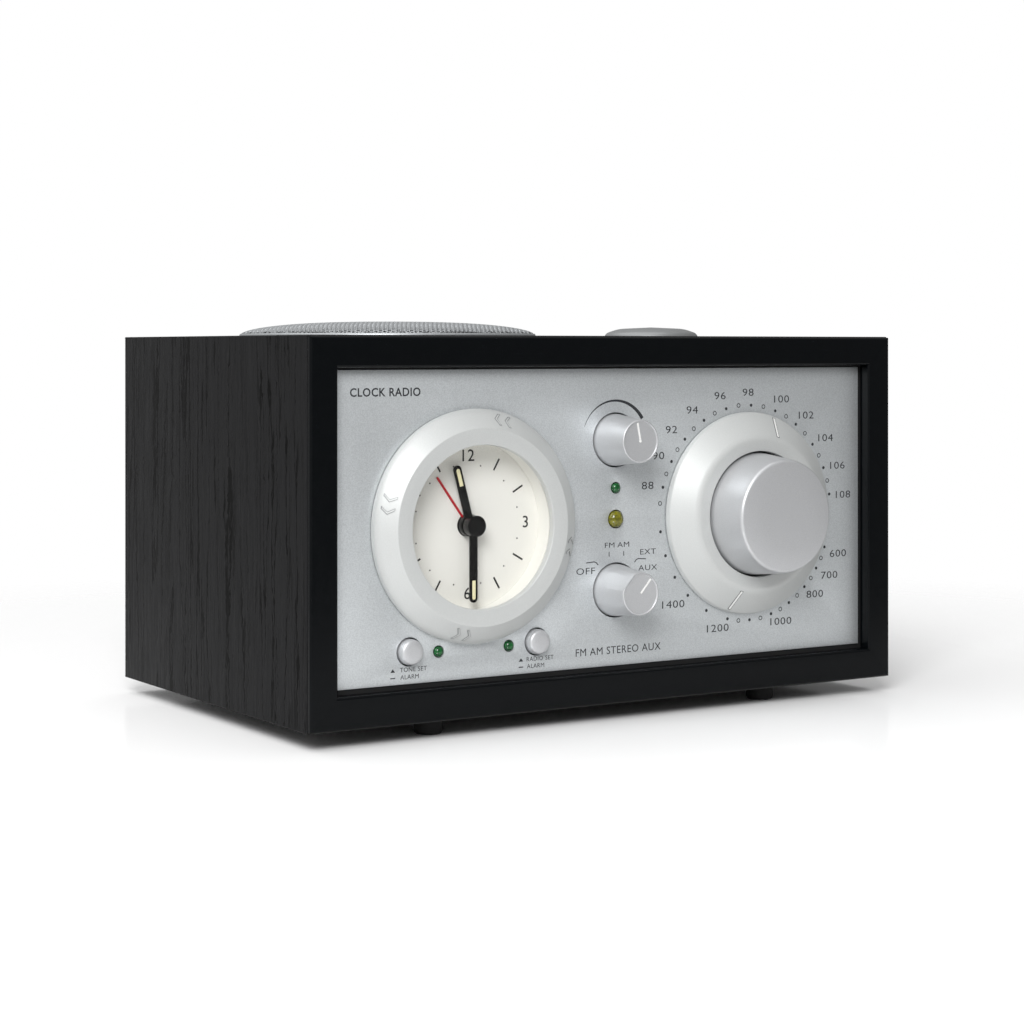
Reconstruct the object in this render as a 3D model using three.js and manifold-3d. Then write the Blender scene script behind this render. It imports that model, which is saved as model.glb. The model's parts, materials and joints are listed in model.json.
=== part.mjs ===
// A table clock radio: a wooden cabinet with a black front frame, a silver face plate with an analogue
// alarm clock, a volume knob, a source knob and a geared tuning dial, and on top a speaker and a snooze
// button. Millimetres, +Z up, the front faces -Y. Inside the body group, x runs to the right seen from the
// front, y is the depth behind the front of the frame, and z is the height above the cabinet's underside.
import * as THREE from "three";
import { mergeVertices } from "three/addons/utils/BufferGeometryUtils.js";
import Module from "manifold-3d";

const wasm = await Module();
wasm.setup();

// ---- driving dimensions ----
const width = 212.7;
const height = 111.5;
const depth = 133.4;
const board = 7.5; // thickness of the cabinet's boards
const footHeight = 5;
const knobReach = 16.4; // how far the tuning knob stands out in front of the frame
const gap = 0.1; // between pieces that rest on each other
const run = 0.35; // radial clearance of what turns or slides

const frameInset = 0.3; // the frame stands in from the cabinet's faces
const frameEdge = 1.6; // how far it stands proud of the boards
const rabbet = 0.7; // width of the boards' front edge outside the frame's back half
const frameBorder = { side: 9.1, top: 9.2, bottom: 9.8 };
const frameDepth = 4.2;
const plateFront = frameDepth + gap;
const plateBack = plateFront + 2;
const panelFront = depth - 8.2; // back panel
const panelBack = panelFront + 3;
const faceZ = height / 2; // the clock and the tuning dial sit halfway up
const sideX = 50.4; // clock, speaker, dial and snooze button stand this far from the middle
const topY = 56.3; // depth of the speaker's and the snooze button's centres
const boardTop = height - board; // underside of the top board
const innerHalf = width / 2 - board;
const volumeZ = faceZ + 24.1;
const sourceZ = faceZ - 21.6;
const powerLedZ = faceZ + 9.5;
const alarmRowZ = faceZ - 35.3;
const alarmButtonX = 21.7; // from the clock's axis
const alarmLedX = 12;
const controlBoardY = 20;

const fine = 32; // sides of the large round pieces
const medium = 16;
const small = 10;

// ---- materials ----
const finish = (color, roughness, metalness) =>
  new THREE.MeshStandardMaterial({ color, roughness, metalness });
const blackAsh = finish(0x2c2c2d, 0.6, 0);
const blackLacquer = finish(0x131315, 0.35, 0);
const silverPaint = finish(0xb4b7ba, 0.4, 0.6);
const pearlSilver = finish(0xdfe1e1, 0.35, 0.4);
const grilleSteel = finish(0x9a9c9e, 0.4, 0.8);
const blackPlastic = finish(0x1a1a1b, 0.55, 0);
const rubber = finish(0x101010, 0.9, 0);
const dialCream = finish(0xf1f0ea, 0.6, 0);
const handBlack = finish(0x0c0c0c, 0.3, 0);
const handRed = finish(0xc01828, 0.4, 0);
const clearAcrylic = finish(0xf6f6f2, 0.05, 0);
const greenLens = finish(0x0b6a2a, 0.2, 0);
const amberLens = finish(0x8a8a1c, 0.2, 0);
const circuitGreen = finish(0x1d5a34, 0.5, 0);
const steel = finish(0x8e9092, 0.35, 0.9);
const brass = finish(0xb08d42, 0.3, 0.9);
const ferrite = finish(0x2b2b2e, 0.7, 0.1);
const paperCone = finish(0x222224, 0.9, 0);
const batteryWrap = finish(0x3b4a5e, 0.4, 0.2);

// ---- solids ----
// A closed geometry as a manifold-3d solid, with its faces turned outwards.
function solid(geometry) {
  geometry.deleteAttribute("normal");
  geometry.deleteAttribute("uv");
  const merged = mergeVertices(geometry, 1e-4);
  const source = merged.index.array;
  const kept = [];
  for (let i = 0; i < source.length; i += 3) {
    const [a, b, c] = [source[i], source[i + 1], source[i + 2]];
    if (a !== b && b !== c && a !== c) kept.push(a, b, c);
  }
  const build = (triangles) =>
    new wasm.Manifold(
      new wasm.Mesh({
        numProp: 3,
        vertProperties: new Float32Array(merged.attributes.position.array),
        triVerts: new Uint32Array(triangles),
      }),
    );
  const made = build(kept);
  return made.volume() < 0 ? build(kept.reverse()) : made;
}

// A manifold-3d solid as a three.js geometry.
function geometryOf(shape) {
  const mesh = shape.getMesh();
  const geometry = new THREE.BufferGeometry();
  geometry.setAttribute("position", new THREE.BufferAttribute(new Float32Array(mesh.vertProperties), 3));
  geometry.setIndex(new THREE.BufferAttribute(new Uint32Array(mesh.triVerts), 1));
  geometry.computeVertexNormals();
  return geometry;
}

const box = (x0, x1, y0, y1, z0, z1) =>
  solid(
    new THREE.BoxGeometry(x1 - x0, y1 - y0, z1 - z0)
      .translate((x0 + x1) / 2, (y0 + y1) / 2, (z0 + z1) / 2),
  );
// Cylinders along the depth (Y) and upright (Z).
const rod = (x, z, radius, y0, y1, sides = small) =>
  solid(new THREE.CylinderGeometry(radius, radius, y1 - y0, sides).translate(x, (y0 + y1) / 2, z));
const post = (x, y, radius, z0, z1, sides = small) =>
  solid(
    new THREE.CylinderGeometry(radius, radius, z1 - z0, sides)
      .rotateX(Math.PI / 2)
      .translate(x, y, (z0 + z1) / 2),
  );
// Turned pieces: a profile of [radius, place along the axis], about Y or about Z.
const latheGeometry = (profile, sides) =>
  new THREE.LatheGeometry(profile.map(([r, a]) => new THREE.Vector2(r, a)), sides);
const turned = (profile, sides = medium) => solid(latheGeometry(profile, sides));
const turnedUp = (profile, sides = medium) => solid(latheGeometry(profile, sides).rotateX(Math.PI / 2));
const closed = (profile) => [...profile, profile[0]];
// An outline of [x, z] points, extruded through the depth from y0 to y1.
const slab = (outline, y0, y1) =>
  solid(
    new THREE.ExtrudeGeometry(
      new THREE.Shape(outline.map(([x, z]) => new THREE.Vector2(x, z))),
      { depth: y1 - y0, bevelEnabled: false },
    )
      .rotateX(Math.PI / 2)
      .translate(0, y1, 0),
  );
const slabRing = (inner, outer, y0, y1, sides = fine) =>
  turned(closed([[inner, y0], [outer, y0], [outer, y1], [inner, y1]]), sides);
const join = (...shapes) => shapes.reduce((a, b) => a.add(b));
const cut = (shape, ...tools) => tools.reduce((a, b) => a.subtract(b), shape);

const group = (x, y, z) => {
  const made = new THREE.Group();
  made.position.set(x, y, z);
  return made;
};
const add = (parent, name, shape, material, angle = 0) => {
  const mesh = new THREE.Mesh(geometryOf(shape), material);
  mesh.name = name;
  mesh.rotation.y = THREE.MathUtils.degToRad(angle); // clockwise seen from the front
  parent.add(mesh);
  return mesh;
};

const radio = new THREE.Group();
const totalDepth = depth + knobReach;
const body = group(0, knobReach - totalDepth / 2, footHeight);
const clock = group(-sideX, 0, faceZ);
const tuning = group(sideX, 0, faceZ);
const speaker = group(-sideX, topY, 0);
const snooze = group(sideX, topY, 0);
body.add(clock, tuning, speaker, snooze);
radio.add(body);

// ---- cabinet ----
const grilleRadius = 46.1;
const speakerHole = 38;
const snoozeRadius = 15.9;
const port = { x: 20, y: 80, radius: 15.9, bore: 14, top: 42 };
const screwX = width / 2 - board - 5.5;
const screwZ = [board + 5.5, boardTop - 5.5];
const screwShank = 1.5;
const boardFront = frameEdge + gap;

function cabinetShell() {
  const half = width / 2;
  const blockDepth = [panelFront - 12, panelFront - gap];
  const blocks = [-1, 1].flatMap((side) =>
    screwZ.map((z) => box(side * screwX - 6, side * screwX + 6, ...blockDepth, z - 6, z + 6)),
  );
  const pilots = [-1, 1].flatMap((side) =>
    screwZ.map((z) => rod(side * screwX, z, screwShank + 0.2, panelFront - 14, panelFront + 4)),
  );
  const walls = cut(
    box(-half, half, boardFront, depth, 0, height),
    box(-innerHalf, innerHalf, -1, depth + 1, board, boardTop),
    box(-half + rabbet, half - rabbet, -1, plateFront, rabbet, height - rabbet),
    post(-sideX, topY, speakerHole, boardTop - 1, height + 1, fine),
    post(sideX, topY, snoozeRadius + 0.5, boardTop - 1, height + 1, medium),
    post(port.x, port.y, port.radius + 0.3, -1, board + 1, medium),
  );
  const outside = box(-half, half, boardFront, depth, 0, height);
  return cut(join(walls, ...blocks.map((b) => b.intersect(outside))), ...pilots);
}

function frontFrame() {
  const plate = (inset, back) => box(inset - width / 2, width / 2 - inset, 0, back, inset, height - inset);
  const inX = width / 2 - frameBorder.side;
  return cut(
    join(plate(frameInset, frameEdge), plate(rabbet + gap, frameDepth)),
    box(-inX, inX, -1, frameDepth + 1, frameBorder.bottom, height - frameBorder.top),
  );
}

function foot() {
  return turnedUp(
    [[0, -footHeight], [3.6, -footHeight], [4.2, -footHeight + 0.6], [4.3, -gap], [0, -gap]],
    medium,
  );
}

add(body, "cabinet_shell", cabinetShell(), blackAsh);
add(body, "front_frame", frontFrame(), blackLacquer);
const [footX, footY] = [61.5, 12];
const footNames = ["foot_front_left", "foot_front_right", "foot_rear_left", "foot_rear_right"];
footNames.forEach((name, i) => {
  const mesh = add(body, name, foot(), rubber);
  mesh.position.set(i % 2 ? footX : -footX, i < 2 ? footY : depth - footY, 0);
});
const portTube = turnedUp(
  closed([[port.bore, 0.3], [port.radius, 0.3], [port.radius, port.top], [port.bore, port.top]]),
  medium,
);
add(body, "port_tube", portTube, blackPlastic).position.set(port.x, port.y, 0);

// ---- face plate ----
const clockHole = 30.6;
const knobHole = 8.3;
const hubHole = 6.8;
const buttonHole = 4.1;
const ledRadius = { small: 1.5, large: 2.5 };
const driveRim = { radius: 29.4, front: 6.8, back: 9 }; // at the back of the clock ring
const rollerRadius = 6;
const rollerOffset = (driveRim.radius + rollerRadius + 0.3) * Math.SQRT1_2; // up and to the left
const flangeRadius = 33;

function facePlate() {
  const halfX = innerHalf - run;
  const plate = box(-halfX, halfX, plateFront, plateBack, board + run, boardTop - run);
  const rib = slabRing(31.5, flangeRadius, plateBack - 0.5, 9.6).translate([-sideX, 0, faceZ]);
  const through = (x, z, radius, sides = medium) => rod(x, z, radius, plateFront - 1, 11, sides);
  return cut(
    join(plate, rib),
    through(-sideX, faceZ, clockHole, fine),
    rod(-rollerOffset - sideX, rollerOffset + faceZ, 7, plateBack, 11, medium),
    through(sideX, faceZ, hubHole),
    through(0, volumeZ, knobHole),
    through(0, sourceZ, knobHole),
    through(0, powerLedZ, ledRadius.small + 0.15, small),
    through(0, faceZ, ledRadius.large + 0.15, small),
    ...[-1, 1].flatMap((side) => [
      through(side * alarmButtonX - sideX, alarmRowZ, buttonHole),
      through(side * alarmLedX - sideX, alarmRowZ - 0.6, ledRadius.small + 0.15, small),
    ]),
  );
}
add(body, "face_plate", facePlate(), silverPaint);

// ---- clock ----
function clockRing() {
  return turned(
    closed([
      [34.5, 4], [34.5, 3.2], [33.1, 1.7], [31.2, -0.2], [28.9, -1.9], [24, -1.75], [23.9, 0.3],
      [26.9, 0.3], [26.9, driveRim.back], [driveRim.radius, driveRim.back],
      [driveRim.radius, driveRim.front], [27.8, driveRim.front], [27.8, 4],
    ]),
    fine,
  );
}

// A rubber-tyred roller against the ring's rim carries the setting movement into the clock.
function settingRoller() {
  return join(
    rod(0, 0, rollerRadius, driveRim.front + 0.1, driveRim.back - 0.1, medium),
    rod(0, 0, 1.5, plateBack + 0.2, 16.6, 8),
  );
}

function clockCase() {
  return turned(
    closed([
      [26.5, 0.7], [26.5, 9.7], [flangeRadius, 9.7], [flangeRadius, 11.2], [3.5, 11.2], [3.5, 9.7],
      [24.8, 9.7], [24.8, 2.5], [25.6, 2.5], [25.6, 0.7],
    ]),
    fine,
  );
}

function clockMovement() {
  return cut(
    box(-27, 27, 11.4, 26.4, -27, 27),
    rod(0, 0, 3.2, 11, 19),
    rod(-rollerOffset, rollerOffset, 1.9, 11, 17),
  );
}

// A clock hand: a blade with a round tip, a boss, and an arbor that runs back into the movement.
function hand({ length, halfWidth, blade, boss, bossRadius, arbor, arborEnd, bore = 0 }) {
  const tip = [-60, -20, 20, 60].map((a) => THREE.MathUtils.degToRad(a));
  const outline = [
    [halfWidth, 0],
    ...tip.map((a) => [Math.sin(a) * halfWidth, length - halfWidth + Math.cos(a) * halfWidth]).reverse(),
    [-halfWidth, 0],
  ];
  const shape = join(
    slab(outline, ...blade),
    rod(0, 0, bossRadius, ...boss, medium),
    rod(0, 0, arbor, boss[0], arborEnd),
  );
  return bore ? cut(shape, rod(0, 0, bore, boss[0] - 1, arborEnd + 1)) : shape;
}
const minuteHand = {
  length: 22.5, halfWidth: 1.35, blade: [4.4, 5], boss: [3.1, 5.8], bossRadius: 3.2, arbor: 1.1, arborEnd: 18,
};
const hourHand = {
  length: 18.3, halfWidth: 1.35, blade: [6.2, 6.8], boss: [6.2, 7.4], bossRadius: 3.3, arbor: 1.95,
  arborEnd: 17, bore: 1.4,
};
const alarmHand = {
  length: 17.8, halfWidth: 0.45, blade: [7.7, 8.1], boss: [7.7, 8.1], bossRadius: 3.2, arbor: 2.85,
  arborEnd: 16, bore: 2.25,
};
const shownHour = 11.5;
const shownAlarm = 10.8;

add(clock, "clock_ring", clockRing(), pearlSilver);
add(clock, "clock_case", clockCase(), dialCream);
add(clock, "clock_lens", rod(0, 0, 25.4, 0.7, 2.3, fine), clearAcrylic);
add(clock, "clock_dial", cut(rod(0, 0, 24.5, 9, 9.6, fine), rod(0, 0, 3.3, 8, 10)), dialCream);
add(clock, "clock_movement", clockMovement(), blackPlastic);
add(clock, "minute_hand", hand(minuteHand), handBlack, (shownHour % 1) * 360);
add(clock, "hour_hand", hand(hourHand), handBlack, shownHour * 30);
add(clock, "alarm_hand", hand(alarmHand), handRed, shownAlarm * 30);
add(clock, "setting_roller", settingRoller(), rubber).position.set(-rollerOffset, 0, rollerOffset);

// ---- controls ----
const knobTaper = [[7.95, 8], [7.95, 3.4], [6.9, -8.4], [6.5, -9], [5.9, -9.2], [0, -9.2]];
const knobBore = 3.3;
function smallKnob() {
  return cut(turned([[0, 8], ...knobTaper], medium), rod(0, 0, knobBore, -5, 9));
}
// The source knob has a flat along one side, square to its pointer line.
function sourceKnob() {
  const flat = box(-12, -5.2, -11, 3.4, -12, 12);
  return cut(smallKnob(), flat);
}
const sourceAngle = 41;

function potentiometer() {
  return cut(
    join(rod(0, 0, 4.4, 8.6, 11.5, small), rod(0, 0, 8.6, 11, controlBoardY - gap, medium)),
    rod(0, 0, knobBore, 8, 15.4),
  );
}
function rotarySwitch() {
  return cut(
    join(rod(0, 0, 4.4, 8.6, 11.5, small), box(-9, 9, 11, controlBoardY - gap, -9, 9)),
    rod(0, 0, knobBore, 8, 15.4),
  );
}
const controlShaft = () => rod(0, 0, 3, -4.6, 15, small);

function place(mesh, x, z) {
  mesh.position.set(x, 0, z);
}
place(add(body, "volume_knob", smallKnob(), silverPaint), 0, volumeZ);
place(add(body, "volume_shaft", controlShaft(), steel), 0, volumeZ);
place(add(body, "volume_potentiometer", potentiometer(), steel), 0, volumeZ);
place(add(body, "source_knob", sourceKnob(), silverPaint, sourceAngle), 0, sourceZ);
place(add(body, "source_shaft", controlShaft(), steel), 0, sourceZ);
place(add(body, "source_switch", rotarySwitch(), blackPlastic), 0, sourceZ);

// A lamp: a domed lens on a body with a collar, and two legs back to the control board.
function lamp(radius) {
  const front = plateFront - radius * 0.55;
  const lens = turned([
    [0, 9.5], [radius + 0.4, 9.5], [radius + 0.4, 8.3], [radius, 8.3], [radius, front + radius * 0.7],
    [radius * 0.72, front + radius * 0.22], [0, front],
  ], small);
  const legs = [-0.9, 0.9].map((x) => box(x - 0.3, x + 0.3, 9, controlBoardY - gap, -0.3, 0.3));
  return join(lens, ...legs);
}
place(add(body, "power_lamp", lamp(ledRadius.small), greenLens), 0, powerLedZ);
place(add(body, "tuning_lamp", lamp(ledRadius.large), amberLens), 0, faceZ);
place(add(body, "tone_alarm_lamp", lamp(ledRadius.small), greenLens), -sideX - alarmLedX, alarmRowZ - 0.6);
place(add(body, "radio_alarm_lamp", lamp(ledRadius.small), greenLens), -sideX + alarmLedX, alarmRowZ - 0.6);

function alarmButton() {
  return turned([
    [0, 12], [1.8, 12], [1.8, 8], [3.75, 8], [3.75, 2.6], [3.3, 2.05], [2.6, 1.9], [0, 1.8],
  ], medium);
}
place(add(body, "tone_alarm_button", alarmButton(), silverPaint), -sideX - alarmButtonX, alarmRowZ);
place(add(body, "radio_alarm_button", alarmButton(), silverPaint), -sideX + alarmButtonX, alarmRowZ);

// The control board is an L behind the face plate and carries the two alarm switches.
function controlBoard() {
  const low = board + 1;
  const outline = [
    [-86, low], [14, low], [14, boardTop - 3], [-12, boardTop - 3], [-12, low + 18], [-86, low + 18],
  ];
  const switches = [-1, 1].map((side) => {
    const x = side * alarmButtonX - sideX;
    return box(x - 4, x + 4, 14.6, controlBoardY + 0.5, alarmRowZ - 4, alarmRowZ + 4);
  });
  return join(slab(outline, controlBoardY, controlBoardY + 1.6), ...switches);
}
add(body, "control_board", controlBoard(), circuitGreen);

// ---- tuning drive ----
// A 5:1 friction planetary: the knob's shaft is the sun, three balls on a carrier roll inside a fixed
// race, and the carrier turns the dial and the capacitor.
const sunRadius = 3;
const ballRadius = 4.2;
const ballOrbit = sunRadius + 0.3 + ballRadius;
const ballY = 14.9;
const dialAngle = 17.5; // where the dial's pointer lines stand

function tuningDial() {
  return turned(
    closed([
      [31.9, 3.7], [31.9, 3], [31, 2.2], [24.3, -3.1], [23.5, -3.4], [19.7, -1.6], [19.7, 0.6],
      [6.2, 0.6], [6.2, 2.4], [21.3, 2.4], [21.3, 0.6], [24, -1.2], [29.9, 3.7],
    ]),
    fine,
  );
}
function tuningKnob() {
  return cut(
    turned([
      [0, 0], [19.2, 0], [18.9, -3], [17.9, -14.6], [17.4, -15.8], [16.3, -knobReach], [0, -knobReach],
    ], fine),
    rod(0, 0, knobBore, -12, 1),
  );
}
function driveCarrier() {
  const ring = [0, 120, 240].map((a) => THREE.MathUtils.degToRad(a));
  const balls = ring.map((a) =>
    solid(
      new THREE.SphereGeometry(ballRadius, 8, 6)
        .translate(Math.cos(a) * ballOrbit, ballY, Math.sin(a) * ballOrbit),
    ),
  );
  const pins = ring.map((a) => rod(Math.cos(a) * ballOrbit, Math.sin(a) * ballOrbit, 0.8, 10, 19.8, 8));
  const pillars = ring.map((a) => {
    const turn = a + Math.PI / 3;
    return rod(Math.cos(turn) * 8.2, Math.sin(turn) * 8.2, 1.6, 10, 19.8, 8);
  });
  const cage = join(
    rod(0, 0, 6, 0.9, 10, medium),
    rod(0, 0, 11, 9.6, 10.4, medium),
    rod(0, 0, 11, 19.4, 20.2, medium),
    rod(0, 0, sunRadius, 20, 30.5),
  );
  return join(cut(cage, rod(0, 0, 3.4, 0, 11)), ...pins, ...pillars, ...balls);
}
function driveHousing() {
  return turned(
    closed([
      [6.5, plateBack + gap], [14.5, plateBack + gap], [14.5, 22.2], [3.5, 22.2], [3.5, 20.7],
      [12.3, 20.7], [12.3, 9.2], [6.5, 9.2],
    ]),
    medium,
  );
}
function tuningCapacitor() {
  return cut(box(-12.5, 12.5, 22.8, 38, -12.5, 12.5), rod(0, 0, knobBore, 22, 31.2));
}
add(tuning, "tuning_knob", tuningKnob(), silverPaint);
add(tuning, "tuning_shaft", rod(0, 0, sunRadius, -11.6, 18.8), steel);
add(tuning, "tuning_dial", tuningDial(), pearlSilver, dialAngle);
add(tuning, "drive_carrier", driveCarrier(), brass, dialAngle);
add(tuning, "drive_housing", driveHousing(), steel);
add(tuning, "tuning_capacitor", tuningCapacitor(), blackPlastic);

// ---- speaker ----
function grille() {
  const rise = 4.7;
  const shares = [0, 0.4, 0.7, 0.9, 0.98];
  const dome = (radius, lift) =>
    shares.map((s) => [s * radius, height + gap + lift * Math.sqrt(1 - s * s)]);
  const outer = dome(grilleRadius, rise);
  const inner = dome(grilleRadius - 1, rise - 0.8);
  return turnedUp([
    ...outer, [grilleRadius, height + gap + 0.6], [grilleRadius, height + gap],
    [grilleRadius - 1, height + gap], ...inner.reverse(),
  ], fine);
}
function basket() {
  const shell = turnedUp(
    closed([
      [44, boardTop - gap], [36.2, boardTop - gap], [36.2, 101.4], [24.6, 83], [12.7, 83],
      [12.7, 81.4], [26.4, 81.4], [37.6, 101.4], [44, 101.6],
    ]),
    fine,
  );
  const window = (x0, x1, y0, y1) => box(x0, x1, y0, y1, 86, 98.5);
  return cut(
    shell, window(20, 45, -11, 11), window(-45, -20, -11, 11), window(-11, 11, 20, 45), window(-11, 11, -45, -20),
  );
}
const magnet = () => turnedUp(closed([[14, 69], [26, 69], [26, 81.3], [14, 81.3]]), medium);
const yoke = () => turnedUp([[0, 65], [24, 65], [24, 68.9], [11.3, 68.9], [11.3, 83], [0, 83]], medium);
function cone() {
  return turnedUp([
    [0, 92], [7, 91], [12.2, 88.6], [30, 98.6], [30.2, 98], [12.7, 87.3], [12.2, 86.6], [12.2, 77],
    [11.7, 77], [11.7, 87.6], [7, 90.2], [0, 91.2],
  ], medium);
}
function surround() {
  return turnedUp(
    closed([
      [30.6, 98.2], [31.4, 100.6], [33, 101.8], [35.9, 101.8], [35.9, 101.2], [33.4, 101.1],
      [32.1, 100.2], [31.4, 98.2],
    ]),
    medium,
  );
}
add(speaker, "speaker_grille", grille(), grilleSteel);
add(speaker, "speaker_basket", basket(), blackPlastic);
add(speaker, "speaker_magnet", magnet(), ferrite);
add(speaker, "speaker_yoke", yoke(), steel);
add(speaker, "speaker_cone", cone(), paperCone);
add(speaker, "cone_surround", surround(), rubber);

// ---- snooze button ----
function snoozeButton() {
  const top = height + 3.3;
  return turnedUp([
    [0, top], [7, top - 0.15], [11.5, top - 0.7], [14.4, top - 1.9], [snoozeRadius, top - 3.6],
    [snoozeRadius, 104.6], [14.4, 104.6], [14.4, 109.4], [2, 109.4], [2, 101.2], [0, 101.2],
  ]);
}
function snoozeHousing() {
  return join(
    turnedUp([[0, 93], [19.5, 93], [19.5, boardTop - gap], [17.5, boardTop - gap], [17.5, 94.6], [0, 94.6]]),
    box(-3, 3, -3, 3, 94, 98),
    post(0, 0, 1.6, 97, 99.4),
  );
}
add(snooze, "snooze_button", snoozeButton(), pearlSilver);
add(snooze, "snooze_switch_housing", snoozeHousing(), blackPlastic);

// ---- main board and aerial ----
function mainBoard() {
  const low = board + gap;
  const sheetZ = [14, 15.6];
  const legs = [[-82, 66], [-6, 66], [-82, 112], [-6, 112]].map(([x, y]) => post(x, y, 3, low, 14.5, 8));
  const smoothing = [[-80, 76], [-66, 76]].map(([x, y]) => post(x, y, 5, 15, 31, small));
  const chips = [box(-50, -38, 72, 84, 15, 17.6), box(-30, -12, 76, 90, 15, 18)];
  const heatSink = box(-84, -58, 92, 98, 15, 36);
  return join(box(-86, -2, 62, 116, ...sheetZ), ...legs, ...smoothing, ...chips, heatSink);
}
function ferriteRod() {
  const [y, z] = [106, 92];
  const barX = (x0, x1, radius) =>
    solid(
      new THREE.CylinderGeometry(radius, radius, x1 - x0, small)
        .rotateZ(Math.PI / 2)
        .translate((x0 + x1) / 2, y, z),
    );
  const holders = [-30, 60].map((x) => box(x - 2, x + 2, y - 5, y + 5, z - 5, boardTop - gap));
  return join(barX(-40, 70, 4), barX(0, 24, 5.6), ...holders);
}
add(body, "main_board", mainBoard(), circuitGreen);
add(body, "ferrite_rod_aerial", ferriteRod(), ferrite);

// ---- rear ----
const socketZ = 22;
const aerialZ = 82;
const dcX = -78;
const jackX = { headphone_jack: -48, aux_jack: -26 };
const aerialSocketX = 62;
const aerialSwitchX = 34;
const battery = { x: 60, z: 40, halfX: 30, halfZ: 11, y: panelFront - 9.7 };

function backPanel() {
  const halfX = innerHalf - run;
  const through = (x, z, radius) => rod(x, z, radius, panelFront - 1, panelBack + 1, medium);
  const window = (x, z, halfW, halfH) =>
    box(x - halfW, x + halfW, panelFront - 1, panelBack + 1, z - halfH, z + halfH);
  return cut(
    box(-halfX, halfX, panelFront, panelBack, board + run, boardTop - run),
    through(dcX, socketZ, 5.8),
    ...Object.values(jackX).map((x) => through(x, socketZ, 4.3)),
    through(aerialSocketX, aerialZ, 5),
    window(aerialSwitchX, aerialZ, 5.6, 2.4),
    window(battery.x, battery.z, battery.halfX + 0.3, battery.halfZ + 0.3),
    ...[-1, 1].flatMap((side) => screwZ.map((z) => through(side * screwX, z, screwShank + 0.3))),
  );
}
add(body, "back_panel", backPanel(), blackPlastic);

// A socket: a block on the main board with a round collar through the back panel and a bore.
function socket(halfBlock, collar, bore, boreDepth) {
  const front = panelFront - 14;
  return cut(
    join(
      box(-halfBlock, halfBlock, front, panelFront - gap, -halfBlock, halfBlock),
      rod(0, 0, collar, panelFront - 1, panelBack + 1, medium),
    ),
    rod(0, 0, bore, panelBack + 1 - boreDepth, panelBack + 2, small),
  );
}
const dcInlet = () => join(socket(6, 5.5, 3, 9), rod(0, 0, 1, panelFront - 7.3, panelBack, 8));
place(add(body, "dc_inlet", dcInlet(), blackPlastic), dcX, socketZ);
for (const [name, x] of Object.entries(jackX))
  place(add(body, name, socket(6, 4, 1.85, 12), steel), x, socketZ);

function aerialSocket() {
  const hexagon = [0, 1, 2, 3, 4, 5].map((i) => {
    const a = (i * Math.PI) / 3;
    return [Math.cos(a) * 7, Math.sin(a) * 7];
  });
  return cut(
    join(
      rod(0, 0, 6, panelFront - 8.3, panelFront - gap),
      rod(0, 0, 4.7, panelFront - 2.3, depth - 0.2, medium),
      slab(hexagon, panelBack + gap, panelBack + 2.1),
    ),
    rod(0, 0, 1.2, panelFront - 4.3, depth + 1),
  );
}
place(add(body, "aerial_socket", aerialSocket(), steel), aerialSocketX, aerialZ);

const switchTravel = 4;
function aerialSwitch() {
  return cut(
    box(-10, 10, panelFront - 9.3, panelFront - gap, -4.5, 4.5),
    box(-5.6, 5.6, panelFront - 5.3, panelFront + 1, -2.4, 2.4),
  );
}
const aerialLever = () =>
  box(-3 - switchTravel / 2, 3 - switchTravel / 2, panelFront - 4.9, panelBack + 1.6, -2, 2);
place(add(body, "aerial_switch", aerialSwitch(), steel), aerialSwitchX, aerialZ);
place(add(body, "aerial_switch_lever", aerialLever(), blackPlastic), aerialSwitchX, aerialZ);

function batteryBox() {
  const [x, z] = [battery.halfX + 1.8, battery.halfZ + 1.8];
  return cut(
    box(-x, x, panelFront - 19.7, panelFront - gap, -z, z),
    box(-battery.halfX, battery.halfX, panelFront - 17.9, panelFront + 1, -battery.halfZ, battery.halfZ),
  );
}
function batteryCell() {
  const bar = (radius, x0, x1) =>
    solid(
      new THREE.CylinderGeometry(radius, radius, x1 - x0, medium)
        .rotateZ(Math.PI / 2)
        .translate((x0 + x1) / 2, battery.y, 0),
    );
  return join(bar(7, -25, 24), bar(2.6, 23.5, 25.3));
}
function batteryDoor() {
  const grip = [-2, 0, 2].map((z) => box(-6, 6, panelBack - 0.5, panelBack + 0.7, z - 0.4, z + 0.4));
  return join(
    box(-battery.halfX, battery.halfX, panelFront + 0.8, panelBack, -battery.halfZ, battery.halfZ),
    ...grip,
  );
}
place(add(body, "battery_box", batteryBox(), blackPlastic), battery.x, battery.z);
place(add(body, "battery", batteryCell(), batteryWrap), battery.x, battery.z);
place(add(body, "battery_door", batteryDoor(), blackPlastic), battery.x, battery.z);

function backScrew() {
  return cut(
    turned([[0, panelFront - 10], [screwShank, panelFront - 9.2], [screwShank, panelBack + gap], [3.2, panelBack + gap],
      [2.9, panelBack + 1.4], [1.6, panelBack + 2], [0, panelBack + 2]], small),
    box(-1.7, 1.7, panelBack + 1.1, panelBack + 3, -0.3, 0.3),
    box(-0.3, 0.3, panelBack + 1.1, panelBack + 3, -1.7, 1.7),
  );
}
const corners = [["left", -1], ["right", 1]].flatMap(([word, side]) =>
  screwZ.map((z, i) => [`back_screw_${i ? "upper" : "lower"}_${word}`, side * screwX, z]),
);
for (const [name, x, z] of corners) place(add(body, name, backScrew(), steel), x, z);

export default radio;
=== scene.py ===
import json
import math

import bmesh
import bpy
import numpy as np
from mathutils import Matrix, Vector
from mathutils.geometry import delaunay_2d_cdt


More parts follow.
